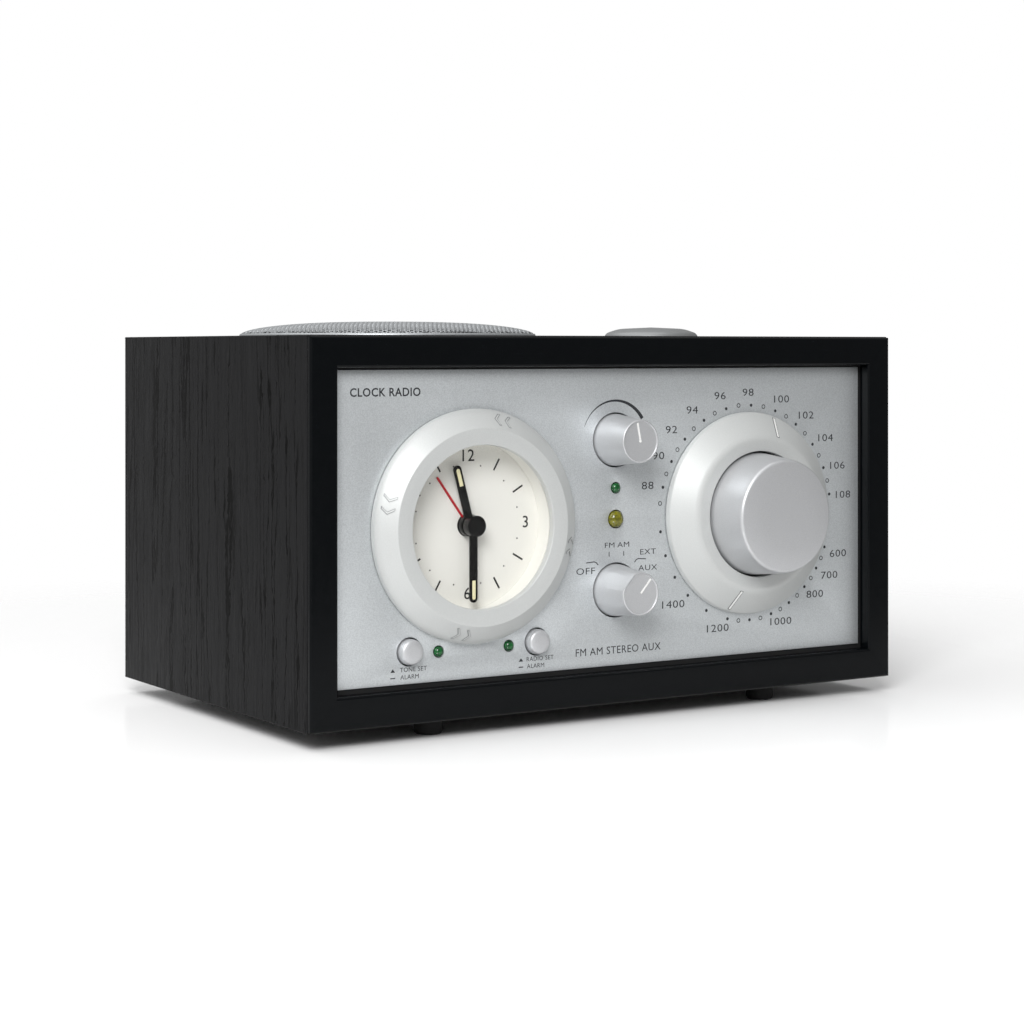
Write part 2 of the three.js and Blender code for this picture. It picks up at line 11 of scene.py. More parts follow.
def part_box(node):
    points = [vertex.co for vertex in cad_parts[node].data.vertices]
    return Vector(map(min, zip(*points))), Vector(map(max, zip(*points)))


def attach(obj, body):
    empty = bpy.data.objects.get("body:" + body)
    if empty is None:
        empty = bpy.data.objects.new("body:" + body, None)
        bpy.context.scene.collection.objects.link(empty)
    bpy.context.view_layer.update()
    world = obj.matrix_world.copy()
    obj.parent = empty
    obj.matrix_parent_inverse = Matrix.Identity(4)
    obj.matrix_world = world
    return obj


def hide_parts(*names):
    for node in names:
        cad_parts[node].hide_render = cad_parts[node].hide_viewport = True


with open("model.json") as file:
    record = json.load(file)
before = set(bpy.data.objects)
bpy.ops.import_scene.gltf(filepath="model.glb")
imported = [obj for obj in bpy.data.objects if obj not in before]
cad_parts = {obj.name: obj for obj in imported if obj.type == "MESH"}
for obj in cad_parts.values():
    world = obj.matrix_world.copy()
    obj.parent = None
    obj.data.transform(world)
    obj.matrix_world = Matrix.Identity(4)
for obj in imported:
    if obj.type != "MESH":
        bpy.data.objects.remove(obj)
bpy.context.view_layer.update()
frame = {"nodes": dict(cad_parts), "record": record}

# Shapes are worked out in cabinet millimetres: x to the right, y the depth behind the front of the frame, z
# the height above the cabinet's underside.
mm = 0.001
cabinetOrigin = np.array([0.0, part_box("front_frame")[0].y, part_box("cabinet_shell")[0].z])
cabinet = {"width": 212.7, "height": 111.5, "depth": 133.4, "board": 7.5, "edge": 0.35, "lip": 0.7,
           "front": 1.7}
clockAt = (-50.4, 55.75)
dialAt = (50.4, 55.75)
volumeAt = (0.0, 79.85)
sourceAt = (0.0, 34.15)
powerLampAt = (0.0, 65.25)
tuningLampAt = (0.0, 55.75)
alarmButtons = {"tone": (-72.1, 20.45), "radio": (-28.7, 20.45)}
alarmLamps = {"tone": (-62.4, 19.85), "radio": (-38.4, 19.85)}
plateFront = 4.3


# Faces of a grid whose rows are closed loops: quads between each row and the next, round to the first row
# again where closeRows is set.
def gridFaces(rows, columns, closeRows=False):
    r = np.arange(rows if closeRows else rows - 1)[:, None]
    c = np.arange(columns)[None, :]
    nextRow, nextColumn = (r + 1) % rows, (c + 1) % columns
    return np.stack([r * columns + c, r * columns + nextColumn, nextRow * columns + nextColumn,
                     nextRow * columns + c], -1).reshape(-1, 4)


# A mesh object from points in cabinet millimetres and arrays of faces. Doubles are merged, and on a closed
# piece the faces are turned outwards.
def surface(name, points, faceArrays, smoothAngle=32.0, closed=True):
    sizes = np.concatenate([np.full(len(f), f.shape[1]) for f in faceArrays])
    corners = np.concatenate([f.reshape(-1) for f in faceArrays]).astype(np.int32)
    mesh = bpy.data.meshes.new(name)
    mesh.vertices.add(len(points))
    mesh.vertices.foreach_set("co", (points * mm + cabinetOrigin).astype(np.float32).reshape(-1))
    mesh.loops.add(len(corners))
    mesh.loops.foreach_set("vertex_index", corners)
    mesh.polygons.add(len(sizes))
    mesh.polygons.foreach_set("loop_start", np.concatenate([[0], np.cumsum(sizes)[:-1]]).astype(np.int32))
    mesh.update(calc_edges=True)
    mesh.validate()
    work = bmesh.new()
    work.from_mesh(mesh)
    bmesh.ops.remove_doubles(work, verts=work.verts, dist=2e-6)
    if closed:
        bmesh.ops.recalc_face_normals(work, faces=work.faces)
    work.to_mesh(mesh)
    work.free()
    mesh.shade_smooth()
    mesh.set_sharp_from_angle(angle=math.radians(smoothAngle))
    piece = bpy.data.objects.new(name, mesh)
    bpy.context.scene.collection.objects.link(piece)
    return piece


# Says what a piece is: its finish, the body it rides on, its record slot, which is not used, and the CAD
# nodes it stands for.
def declare(piece, material, body, slotName, *nodes):
    piece.data.materials.clear()
    piece.data.materials.append(material)
    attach(piece, body)
    if nodes:
        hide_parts(*nodes)
    return piece


# A profile with its corners rounded: each corner becomes a parabola that touches both of its sides.
def rounded(profile, radius, steps=5):
    p = np.array([q[:2] for q in profile], float)
    own = [q[2] if len(q) > 2 else radius for q in profile]
    out = [p[:1]]
    t = np.linspace(0, 1, steps)[:, None]
    for i in range(1, len(p) - 1):
        a, b = p[i - 1] - p[i], p[i + 1] - p[i]
        reach = min(own[i], 0.48 * np.linalg.norm(a), 0.48 * np.linalg.norm(b))
        if reach < 1e-4:
            out.append(p[i:i + 1])
            continue
        start = p[i] + a / np.linalg.norm(a) * reach
        end = p[i] + b / np.linalg.norm(b) * reach
        out.append((1 - t) ** 2 * start + 2 * t * (1 - t) * p[i] + t ** 2 * end)
    out.append(p[-1:])
    return np.concatenate(out)


# A turned piece: the profile's (radius, along) points carried round the axis, x = r sin a and z = r cos a
# about a depth axis, or x = r cos a and y = r sin a about an upright one. flat cuts one side away: the
# radius is never more than flat / cos(a - flatAngle), where flat goes from its first to its second value
# down the knob.
def turned(name, profile, centre, sides=96, upright=False, ring=False, flat=None, flatAngle=0.0, **how):
    p = np.asarray(profile, float)
    a = np.linspace(0, 2 * math.pi, sides, endpoint=False)
    r, along = np.repeat(p[:, :1], sides, 1), np.repeat(p[:, 1:2], sides, 1)
    if flat is not None:
        towards = np.cos(a - math.radians(flatAngle))
        distance = np.interp(p[:, 1:2], (-8.9, 4.6), flat)
        limit = np.where(towards > 0.05, distance / np.maximum(towards, 0.05), 1e3)
        r = np.where(along < plateFront, np.minimum(r, limit), r)
    if upright:
        points = np.stack([centre[0] + r * np.cos(a), centre[1] + r * np.sin(a), along], -1)
    else:
        points = np.stack([centre[0] + r * np.sin(a), along, centre[1] + r * np.cos(a)], -1)
    return surface(name, points.reshape(-1, 3), [gridFaces(len(p), sides, ring)], **how)


# The rounded profile of a ring: its last point joins its first, which stays sharp.
def roundedRing(profile, radius):
    return rounded([*profile, profile[0][:2]], radius)[:-1]


# A closed loop moved inwards by a distance: each point slides along the mitre of its two edges.
def insetLoop(loop, distance):
    before, after = loop - np.roll(loop, 1, 0), np.roll(loop, -1, 0) - loop
    n1 = np.stack([-before[:, 1], before[:, 0]], -1) / np.linalg.norm(before, axis=1)[:, None]
    n2 = np.stack([-after[:, 1], after[:, 0]], -1) / np.linalg.norm(after, axis=1)[:, None]
    mitre = (n1 + n2) / (1 + (n1 * n2).sum(1))[:, None]
    return loop + mitre * distance


# A circle: u = r cos a and v = r sin a about its centre.
def circleLoop(centre, radius, sides=64):
    a = np.linspace(0, 2 * math.pi, sides, endpoint=False)
    return np.stack([centre[0] + radius * np.cos(a), centre[1] + radius * np.sin(a)], -1)


# A rectangle, anticlockwise; with a corner radius, each corner is a quarter circle.
def rectangleLoop(u0, u1, v0, v1, corner=0.0, steps=6):
    if corner <= 0:
        return np.array([[u0, v0], [u1, v0], [u1, v1], [u0, v1]], float)
    a = np.linspace(0, math.pi / 2, steps)
    centres = [(u1 - corner, v0 + corner, -90), (u1 - corner, v1 - corner, 0),
               (u0 + corner, v1 - corner, 90), (u0 + corner, v0 + corner, 180)]
    return np.concatenate([np.stack([u + corner * np.cos(a + math.radians(s)),
                                     v + corner * np.sin(a + math.radians(s))], -1) for u, v, s in centres])


# Which points lie inside a loop: a ray to the left crosses the loop an odd number of times.
def insideLoop(points, loop):
    a, b = loop, np.roll(loop, -1, 0)
    x, y = points[:, :1], points[:, 1:]
    crosses = (a[:, 1] > y) != (b[:, 1] > y)
    rise = np.where(np.abs(b[:, 1] - a[:, 1]) < 1e-12, 1e-12, b[:, 1] - a[:, 1])
    return (crosses & (x < a[:, 0] + (y - a[:, 1]) * (b[:, 0] - a[:, 0]) / rise)).sum(1) % 2 == 1


# The flat area between an outer loop and its holes, as triangles.
def flatCap(outer, holes):
    loops = [outer, *holes]
    starts = np.cumsum([0] + [len(q) for q in loops])
    edges = np.concatenate([np.stack([s + np.arange(len(q)), s + (np.arange(len(q)) + 1) % len(q)], -1)
                            for s, q in zip(starts, loops)])
    filled = delaunay_2d_cdt([Vector(q) for q in np.concatenate(loops)], edges.tolist(), [], 0, 1e-6)
    points, faces = np.array([tuple(q) for q in filled[0]]), np.array(filled[2])
    middle = points[faces].mean(1)
    keep = insideLoop(middle, outer)
    for hole in holes:
        keep &= ~insideLoop(middle, hole)
    return points, faces[keep]


# A sheet with holes: the outline and its holes are carried through the stations (inset, depth), which round
# the rims, and the first and last stations are filled flat. toPlace turns (u, v, depth) into cabinet points.
def sheet(name, outer, holes, stations, toPlace, **how):
    points, faces, count = [], [], 0
    for loop, sign in [(outer, 1), *((h, -1) for h in holes)]:
        rows = [np.column_stack([insetLoop(loop, sign * inset), np.full(len(loop), depth)])
                for inset, depth in stations]
        points.append(np.concatenate(rows))
        faces.append(gridFaces(len(stations), len(loop)) + count)
        count += len(points[-1])
    triangles = []
    for inset, depth in (stations[0], stations[-1]):
        flat, cap = flatCap(insetLoop(outer, inset), [insetLoop(h, -inset) for h in holes])
        points.append(np.column_stack([flat, np.full(len(flat), depth)]))
        triangles.append(cap + count)
        count += len(flat)
    faceArrays = [np.concatenate(faces), np.concatenate(triangles)]
    return surface(name, toPlace(np.concatenate(points)), faceArrays, **how)


# On the face: u is x, v is z, and the depth is y.
def onFace(p):
    return p[:, [0, 2, 1]]


# Several pieces as one object of the given name.
def joined(name, pieces):
    work = bmesh.new()
    for piece in pieces:
        work.from_mesh(piece.data)
        old = piece.data
        bpy.data.objects.remove(piece)
        bpy.data.meshes.remove(old)
    mesh = bpy.data.meshes.new(name)
    work.to_mesh(mesh)
    work.free()
    piece = bpy.data.objects.new(name, mesh)
    bpy.context.scene.collection.objects.link(piece)
    return piece


# Raised lettering on a flat face: each word is (text, x, z, height), centred. Its front stands at frontY,
# facing the front, or the back where facing is 1.
def lettering(name, words, frontY, depth=0.06, facing=-1, thin=0.0, narrow=1.0):
    allPoints, allFaces, count = [], [], 0
    for text, x, z, size in words:
        curve = bpy.data.curves.new(name, "FONT")
        curve.body = text
        curve.align_x, curve.align_y = "CENTER", "CENTER"
        curve.size = size * 1.42  # the font's capitals are 0.7 of its size
        curve.resolution_u = 3
        curve.offset = -thin
        curve.extrude = depth / 2
        curve.space_character = 1.08
        made = bpy.data.objects.new(name, curve)
        bpy.context.scene.collection.objects.link(made)
        bpy.context.view_layer.update()
        mesh = bpy.data.meshes.new_from_object(made.evaluated_get(bpy.context.evaluated_depsgraph_get()))
        mesh.calc_loop_triangles()
        co = np.empty(len(mesh.vertices) * 3, np.float32)
        mesh.vertices.foreach_get("co", co)
        co = co.reshape(-1, 3)
        tris = np.empty(len(mesh.loop_triangles) * 3, np.int32)
        mesh.loop_triangles.foreach_get("vertices", tris)
        allPoints.append(np.column_stack([x - facing * co[:, 0] * narrow,
                                          frontY + facing * (co[:, 2] - depth / 2), z + co[:, 1]]))
        allFaces.append(tris.reshape(-1, 3) + count)
        count += len(co)
        bpy.data.objects.remove(made)
        bpy.data.curves.remove(curve)
        bpy.data.meshes.remove(mesh)
    return surface(name, np.concatenate(allPoints).astype(float), [np.concatenate(allFaces)])


# A point at a clock angle, in degrees clockwise from twelve.
def clockPoint(centre, radius, degrees):
    a = np.radians(degrees)
    return centre[0] + radius * np.sin(a), centre[1] + radius * np.cos(a)


# A straight bar between two radii at a clock angle, as a loop.
def radialBar(centre, inner, outer, halfWidth, degrees):
    a = math.radians(degrees)
    out, side = np.array([math.sin(a), math.cos(a)]), np.array([math.cos(a), -math.sin(a)])
    corners = np.array([[inner, halfWidth], [outer, halfWidth], [outer, -halfWidth], [inner, -halfWidth]])
    return np.array(centre) + corners[:, :1] * out + corners[:, 1:] * side


# An sRGB hex colour as linear RGBA, by the sRGB curve.
def toLinear(hexValue):
    s = np.array([int(hexValue[i:i + 2], 16) for i in (1, 3, 5)]) / 255
    return (*np.where(s <= 0.04045, s / 12.92, ((s + 0.055) / 1.055) ** 2.4).tolist(), 1.0)


# Adds a node. in_N sets input N, any other setting is the node's own, and links joins outputs to its inputs.
def node(tree, kind, links=None, **settings):
    made = tree.nodes.new(kind)
    for key, value in settings.items():
        if key.startswith("in_"):
            made.inputs[int(key[3:])].default_value = value
        else:
            setattr(made, key, value)
    for key, source in (links or {}).items():
        tree.links.new(source, made.inputs[key])
    return made


# A material with its shader, and the object's coordinates for its patterns.
def newFinish(name, base, roughness, metallic=0.0, ior=None, **sockets):
    material = bpy.data.materials.new(name)
    material.use_nodes = True
    tree = material.node_tree
    shader = tree.nodes["Principled BSDF"]
    shader.inputs["Base Color"].default_value = toLinear(base)
    shader.inputs["Roughness"].default_value = roughness
    shader.inputs["Metallic"].default_value = metallic
    if ior is not None:
        shader.inputs["IOR"].default_value = ior
    for key, value in sockets.items():
        shader.inputs[key.replace("_", " ")].default_value = value
    where = node(tree, "ShaderNodeTexCoord").outputs["Object"]
    return material, tree, shader, where


# Each noise of the veneer: the size of its grain in millimetres, its frequency along the wood's grain as a
# share of that across it, its detail, and how many millimetres it shifts the finer ones across the grain.
veneer = {
    "wander": (45.0, 0.16, 1.0, 16.0),  # the rings drift by a few millimetres over the board's height
    "waver": (1.5, 0.45, 1.0, 2.0),  # the pores shake by 0.5 mm
    "rings": (7.0, 0.0135, 1.0, 0.0),
    "pores": (3.6, 0.045, 1.0, 0.0),  # the lines where this noise is even are strings of pores
    "beads": (1.1, 0.3, 1.0, 0.0),
    "flecks": (0.55, 0.099, 1.0, 0.0),  # short pores between the strings
    "fine": (0.9, 0.045, 2.0, 0.0),
}
noiseRoughness = 0.55


# Black-stained open-pore ash veneer, satin sealed: charcoal wood crossed by long wavering pores, blacker
# than the wood, that crowd along the growth rings. The pores are grooves, which break up the dull sheen.
def ashVeneer(name, grainAxis):
    material, tree, shader, where = newFinish(name, "#1c1c1d", 0.6, ior=1.5, Specular_IOR_Level=0.1)
    place = where
    noise = {}
    for word, (size, along, detail, shift) in veneer.items():
        stretch = [along if axis == grainAxis else 1.0 for axis in range(3)]
        scaled = node(tree, "ShaderNodeMapping", {0: where if shift else place}, vector_type="POINT",
                      in_3=stretch)
        made = node(tree, "ShaderNodeTexNoise", {0: scaled.outputs[0]}, in_2=1 / (size * mm), in_3=detail,
                    in_4=noiseRoughness)
        noise[word] = made.outputs[0]
        if shift:
            place = node(tree, "ShaderNodeVectorMath", {0: made.outputs[1], 2: place},
                         operation="MULTIPLY_ADD", in_1=(0, shift * mm, 0)).outputs[0]
    zone = node(tree, "ShaderNodeMapRange", {0: noise["rings"]}, in_1=0.36, in_2=0.5)
    level = node(tree, "ShaderNodeMath", {0: noise["pores"]}, operation="SUBTRACT", in_1=0.5)
    offLine = node(tree, "ShaderNodeMath", {0: level.outputs[0]}, operation="ABSOLUTE")
    strings = node(tree, "ShaderNodeMapRange", {0: offLine.outputs[0]}, in_1=0.024, in_2=0.036, in_3=1.0,
                   in_4=0.0)
    broken = node(tree, "ShaderNodeMapRange", {0: noise["beads"]}, in_1=0.36, in_2=0.44, in_3=0.5)
    inZone = node(tree, "ShaderNodeMath", {0: strings.outputs[0], 1: zone.outputs[0]}, operation="MULTIPLY")
    large = node(tree, "ShaderNodeMath", {0: inZone.outputs[0], 1: broken.outputs[0]}, operation="MULTIPLY")
    small = node(tree, "ShaderNodeMapRange", {0: noise["flecks"]}, in_1=0.6, in_2=0.7, in_3=0.0, in_4=0.3)
    grooves = node(tree, "ShaderNodeMath", {0: large.outputs[0], 1: small.outputs[0]}, operation="MAXIMUM")
    share = node(tree, "ShaderNodeMapRange", {0: noise["fine"]}, in_1=0.2, in_2=0.8)
    wood = node(tree, "ShaderNodeMix", {0: share.outputs[0]}, data_type="RGBA", in_6=toLinear("#1a1a1b"),
                in_7=toLinear("#1f1f20"))
    tone = node(tree, "ShaderNodeMix", {0: grooves.outputs[0], 6: wood.outputs[2]}, data_type="RGBA",
                in_7=toLinear("#010101"))
    sheen = node(tree, "ShaderNodeMapRange", {0: noise["fine"]}, in_1=0.3, in_2=0.7, in_3=0.62, in_4=0.5)
    depth = node(tree, "ShaderNodeMath", {1: grooves.outputs[0]}, operation="SUBTRACT", in_0=1.0)
    relief = node(tree, "ShaderNodeBump", {"Height": depth.outputs[0]}, in_0=0.8, in_1=0.12 * mm)
    tree.links.new(tone.outputs[2], shader.inputs["Base Color"])
    tree.links.new(sheen.outputs[0], shader.inputs["Roughness"])
    tree.links.new(relief.outputs[0], shader.inputs["Normal"])
    return material


# Even surfaces with one fine texture: a noise of grainSize millimetres shifts the colour between two tones,
# the roughness by a little, and the height by bumpDepth millimetres.
def plainFinish(name, darker, lighter, roughness, grainSize, bumpStrength=0.15, bumpDepth=0.02, metallic=0.0,
                ior=None, **sockets):
    material, tree, shader, where = newFinish(name, lighter, roughness, metallic, ior, **sockets)
    specks = node(tree, "ShaderNodeTexNoise", {0: where}, in_2=1 / (grainSize * mm), in_3=3.0,
                  in_4=noiseRoughness)
    share = node(tree, "ShaderNodeMapRange", {0: specks.outputs[0]}, in_1=0.35, in_2=0.65)
    tone = node(tree, "ShaderNodeMix", {0: share.outputs[0]}, data_type="RGBA", in_6=toLinear(darker),
                in_7=toLinear(lighter))
    sheen = node(tree, "ShaderNodeMapRange", {0: specks.outputs[0]}, in_1=0.3, in_2=0.7,
                 in_3=roughness - 0.04, in_4=roughness + 0.04)
    relief = node(tree, "ShaderNodeBump", {"Height": specks.outputs[0]}, in_0=bumpStrength,
                  in_1=bumpDepth * mm)
    tree.links.new(tone.outputs[2], shader.inputs["Base Color"])
    tree.links.new(sheen.outputs[0], shader.inputs["Roughness"])
    tree.links.new(relief.outputs[0], shader.inputs["Normal"])
    return material


veneerUpright = ashVeneer("blackAshVeneerUpright", 2)
veneerAlong = ashVeneer("blackAshVeneerAlong", 0)
# satin black lacquer on the frame: deep black with a soft window-like shine and a trace of orange peel
satinLacquer = plainFinish("satinBlackLacquer", "#050709", "#06080a", 0.2, 2.5, 0.02, 0.01, ior=1.5,
                           Specular_IOR_Level=0.14)
# silver metallic paint with a fine sand texture that sparkles a little: grit 0.2 mm, drawn at 0.3 so it shows
sandSilver = plainFinish("sandedSilverPaint", "#ccd0d2", "#dfe3e5", 0.48, 0.3, 0.18, 0.02, metallic=0.75)
# pearl silver moulding: nearly white, with a satin coat that makes broad soft highlights
pearlMoulding = plainFinish("pearlSilverMoulding", "#c3c5c4", "#c9cbca", 0.48, 0.25, 0.04, 0.01,
                            metallic=0.22, Coat_Weight=0.1, Coat_Roughness=0.35)
# darker satin silver of the snooze button
snoozeSilver = plainFinish("satinSilverMoulding", "#8d8f90", "#959798", 0.4, 0.25, 0.04, 0.01, metallic=0.6)
# satin aluminium, bead blasted and clear coated: grey-silver with soft rolling highlights
satinAluminium = plainFinish("satinAluminium", "#c5c6c8", "#cfd0d2", 0.44, 0.2, 0.05, 0.01, metallic=0.6)
# moulded ABS in warm cream: matt, as the dial and its surround
creamMoulding = plainFinish("creamMoulding", "#e9e8e2", "#edece6", 0.6, 0.4, 0.04, 0.01, ior=1.52,
                            Specular_IOR_Level=0.3)
# screen-printed ink, dark grey, flat on the paint
greyInk = plainFinish("greyScreenInk", "#26282b", "#303236", 0.6, 0.3, 0.05, 0.005, ior=1.5)
# screen-printed ink, black on the clock's dial: crisp and matt
blackInk = plainFinish("blackScreenInk", "#080808", "#0e0e0e", 0.5, 0.3, 0.05, 0.005, ior=1.5)
# screen-printed ink, white on the pointers and the rear: crisp and matt
whiteInk = plainFinish("whiteScreenInk", "#e4e4e2", "#f0f0ee", 0.5, 0.3, 0.05, 0.005, ior=1.5)
# gloss black enamel on brass hands: sharp small highlights
blackEnamel = plainFinish("blackEnamel", "#030303", "#050505", 0.14, 1.0, 0.03, 0.005, ior=1.5,
                          Specular_IOR_Level=0.25)
# red enamel on the alarm hand: a clear red with a soft highlight
redEnamel = plainFinish("redEnamel", "#b00e1c", "#c81626", 0.3, 1.0, 0.03, 0.005, ior=1.5)
# pale luminous paint laid in the hands: chalky cream
luminousPaint = plainFinish("luminousPaint", "#e6dfb0", "#f2ecc4", 0.7, 0.3, 0.2, 0.02, ior=1.5)
# unlit lamp lenses in tinted epoxy: deep colour under a glossy skin, with darker mottling inside
greenEpoxy = plainFinish("greenLampEpoxy", "#023214", "#0a6229", 0.12, 1.1, 0.1, 0.02, ior=1.54,
                         Coat_Weight=0.2)
# the tuning lamp's amber epoxy, unlit: olive, under the same gloss
oliveEpoxy = plainFinish("oliveLampEpoxy", "#4a4a08", "#7f7b14", 0.12, 1.1, 0.1, 0.02, ior=1.54,
                         Coat_Weight=0.2)
# moulded black ABS with a spark-eroded texture: charcoal, even and dry
sparkBlack = plainFinish("sparkTexturedBlackAbs", "#141415", "#1c1c1d", 0.6, 0.45, 0.3, 0.03, ior=1.53)
# moulded rubber: dusty black with no shine
footRubber = plainFinish("mouldedRubber", "#070707", "#0c0c0c", 0.85, 0.8, 0.2, 0.03, ior=1.52)
# perforated steel, silver enamel: even light grey with a soft shine on the dome
grilleEnamel = plainFinish("silverEnamelledMesh", "#a2a5a7", "#b2b5b7", 0.42, 0.3, 0.1, 0.01, metallic=0.6)
# zinc-plated and nickelled parts: bright, slightly uneven
platedSteel = plainFinish("platedSteel", "#a6a8aa", "#b8babb", 0.3, 0.8, 0.05, 0.01, metallic=1.0)
# turned brass: warm yellow metal with fine tool marks
turnedBrass = plainFinish("turnedBrass", "#b08c46", "#c6a35c", 0.28, 0.5, 0.08, 0.01, metallic=1.0)
# pressed paper fibre of the cone: dark, dull and slightly felted
pressedPaper = plainFinish("pressedPaperCone", "#17171a", "#26262a", 0.92, 0.6, 0.5, 0.06, ior=1.45)
# sintered ferrite: dull dark grey with a stony speckle
sinteredFerrite = plainFinish("sinteredFerrite", "#232326", "#303034", 0.68, 0.4, 0.3, 0.02, ior=1.8)
# glass-epoxy circuit board under green solder mask: weave shows as a fine mottling
solderMask = plainFinish("greenSolderMask", "#12452a", "#1e6a40", 0.4, 0.7, 0.15, 0.01, ior=1.5)
# printed plastic sleeve of the battery: slate blue with a smooth shine
shrinkSleeve = plainFinish("shrinkSleeve", "#2c3a4e", "#3d4c62", 0.35, 1.5, 0.05, 0.01, ior=1.5)
# clear cast acrylic: almost unseen, with a polished skin
clearAcrylic = plainFinish("clearAcrylic", "#6c6c6a", "#787876", 0.05, 3.0, 0.02, 0.002, ior=1.49, Alpha=0.03)

slotFinishes = {
    "black_ash_veneer": veneerUpright, "black_lacquer": satinLacquer, "silver_paint": sandSilver,
    "pearl_silver": pearlMoulding, "satin_aluminium": satinAluminium, "silver_mesh": grilleEnamel,
    "cream_plastic": creamMoulding, "clear_acrylic": clearAcrylic, "black_hand_enamel": blackEnamel,
    "red_hand_enamel": redEnamel, "green_lamp": greenEpoxy, "amber_lamp": oliveEpoxy,
    "black_plastic": sparkBlack, "black_rubber": footRubber, "bright_steel": platedSteel,
    "brass": turnedBrass, "paper_cone": pressedPaper, "ferrite": sinteredFerrite,
    "circuit_board": solderMask, "battery_wrap": shrinkSleeve,
}
for part in frame["record"]["subparts"]:
    cadMesh = frame["nodes"][part["node"]].data
    cadMesh.materials.clear()
    cadMesh.materials.append(slotFinishes[part["material_slot"]])
print("finishes made for", len(slotFinishes), "slots")

# the camera stands in front and to the left, level, with its view shifted down to the radio
camera = bpy.data.objects.new("camera", bpy.data.cameras.new("camera"))
bpy.context.scene.collection.objects.link(camera)
cameraPlace = {"at": (-389.1, -557.5, 107.1), "turn": -32.056, "roll": 0.023, "lens": 78.82, "shift": -0.1578}
camera.location = np.array(cameraPlace["at"]) * mm + cabinetOrigin
camera.rotation_euler = (math.radians(90), math.radians(cameraPlace["roll"]),
                         math.radians(cameraPlace["turn"]))
camera.data.sensor_width = 36
camera.data.lens = cameraPlace["lens"]
camera.data.shift_y = cameraPlace["shift"]
camera.data.clip_start, camera.data.clip_end = 0.01, 20
bpy.context.scene.camera = camera
print("camera placed")

edge = cabinet["edge"]
boardStations = [(edge, 0), (0.3 * edge, 0.3 * edge), (0, edge), (0, cabinet["lip"]),
                 (0, cabinet["lip"] + 0.01), (0, cabinet["board"])]
halfWidth = cabinet["width"] / 2


# Behind the lip the boards start at the rabbet that holds the front frame.
def rabbet(y, depth):
    return np.where(depth > cabinet["lip"] + 0.005, np.maximum(y, plateFront + 0.05), y)


# The mitre: past the rounded edge, each board draws in from its ends by as much as it is deep.
def mitre(u, depth, low, high):
    back = np.maximum(depth - edge, 0)
    return np.clip(u, low + back, high - back)


# On the top board: u is x, v is y, and the depth counts down from the cabinet's top.
def topPlace(p):
    return np.stack([mitre(p[:, 0], p[:, 2], -halfWidth, halfWidth), rabbet(p[:, 1], p[:, 2]),
                     cabinet["height"] - p[:, 2]], -1)


# On the bottom board the depth counts up from the cabinet's underside.
def bottomPlace(p):
    return np.stack([mitre(p[:, 0], p[:, 2], -halfWidth, halfWidth), rabbet(p[:, 1], p[:, 2]), p[:, 2]], -1)


# On a side board: u is y, v is z cut to the mitre, and the depth counts inwards; side is -1 left, 1 right.
def sidePlace(side):
    def place(p):
        upright = np.clip(p[:, 1], edge + p[:, 2], cabinet["height"] - edge - p[:, 2])
        return np.stack([side * (halfWidth - p[:, 2]), rabbet(p[:, 0], p[:, 2]), upright], -1)
    return place


across = rectangleLoop(-halfWidth, halfWidth, cabinet["front"], cabinet["depth"])
mitreSpare = 3  # the sides are cut this much longer, and the mitre trims them
tall = rectangleLoop(cabinet["front"], cabinet["depth"], -mitreSpare, cabinet["height"] + mitreSpare)
speakerAt, snoozeAt, portAt = (-50.4, 56.3), (50.4, 56.3), (20.0, 80.0)
boardHoles = {"speaker": 38, "snooze": 16.3, "port": 16.2}
topBoard = sheet("topBoard", across, [circleLoop(speakerAt, boardHoles["speaker"], 96),
                                      circleLoop(snoozeAt, boardHoles["snooze"], 96)],
                 boardStations, topPlace)
bottomBoard = sheet("bottomBoard", across, [circleLoop(portAt, boardHoles["port"], 72)], boardStations,
                    bottomPlace)
sideBoards = [sheet(f"{word}Board", tall, [], boardStations, sidePlace(side))
              for word, side in (("left", -1), ("right", 1))]
declare(topBoard, veneerAlong, "cabinet", "black_ash_veneer", "cabinet_shell")
declare(bottomBoard, veneerAlong, "cabinet", "black_ash_veneer")
for sideBoard in sideBoards:
    declare(sideBoard, veneerUpright, "cabinet", "black_ash_veneer")
print("cabinet boards made")

frameBar = {"inset": 0.3, "edge": 1.6, "rabbet": 0.8, "side": 9.1, "top": 9.2, "bottom": 9.8, "back": 4.2,
            "chamfer": 0.55, "joint": 0.02}


# A bar with mitred ends: its section (inset from the cabinet's face, depth) stands at both ends of a side of
# the front, and each point draws in along the side by startDraw and endDraw times its own inset. The side
# begins at a corner and runs along one direction, with its insets inwards along another.
def frameSide(name, start, end, wide, startDraw, endDraw, corner, along, inwards):
    c = frameBar["chamfer"]
    section = rounded([(frameBar["rabbet"], frameBar["back"]), (frameBar["rabbet"], frameBar["edge"]),
                       (frameBar["inset"], frameBar["edge"]), (frameBar["inset"], c, 0.25),
                       (frameBar["inset"] + c, 0, 0.25), (wide - c, 0, 0.25), (wide, c, 0.25),
                       (wide, frameBar["back"])], 0.03, 5)
    low = np.column_stack([start + section[:, 0] * startDraw + frameBar["joint"], section])
    high = np.column_stack([end - section[:, 0] * endDraw - frameBar["joint"], section])
    p = np.concatenate([low, high])
    points = corner + np.outer(p[:, 0], along) + np.outer(p[:, 1], inwards) + np.outer(p[:, 2], (0, 1, 0))
    caps = np.arange(len(section))[None, :]
    return surface(name, points, [gridFaces(2, len(section)), caps, caps + len(section)])


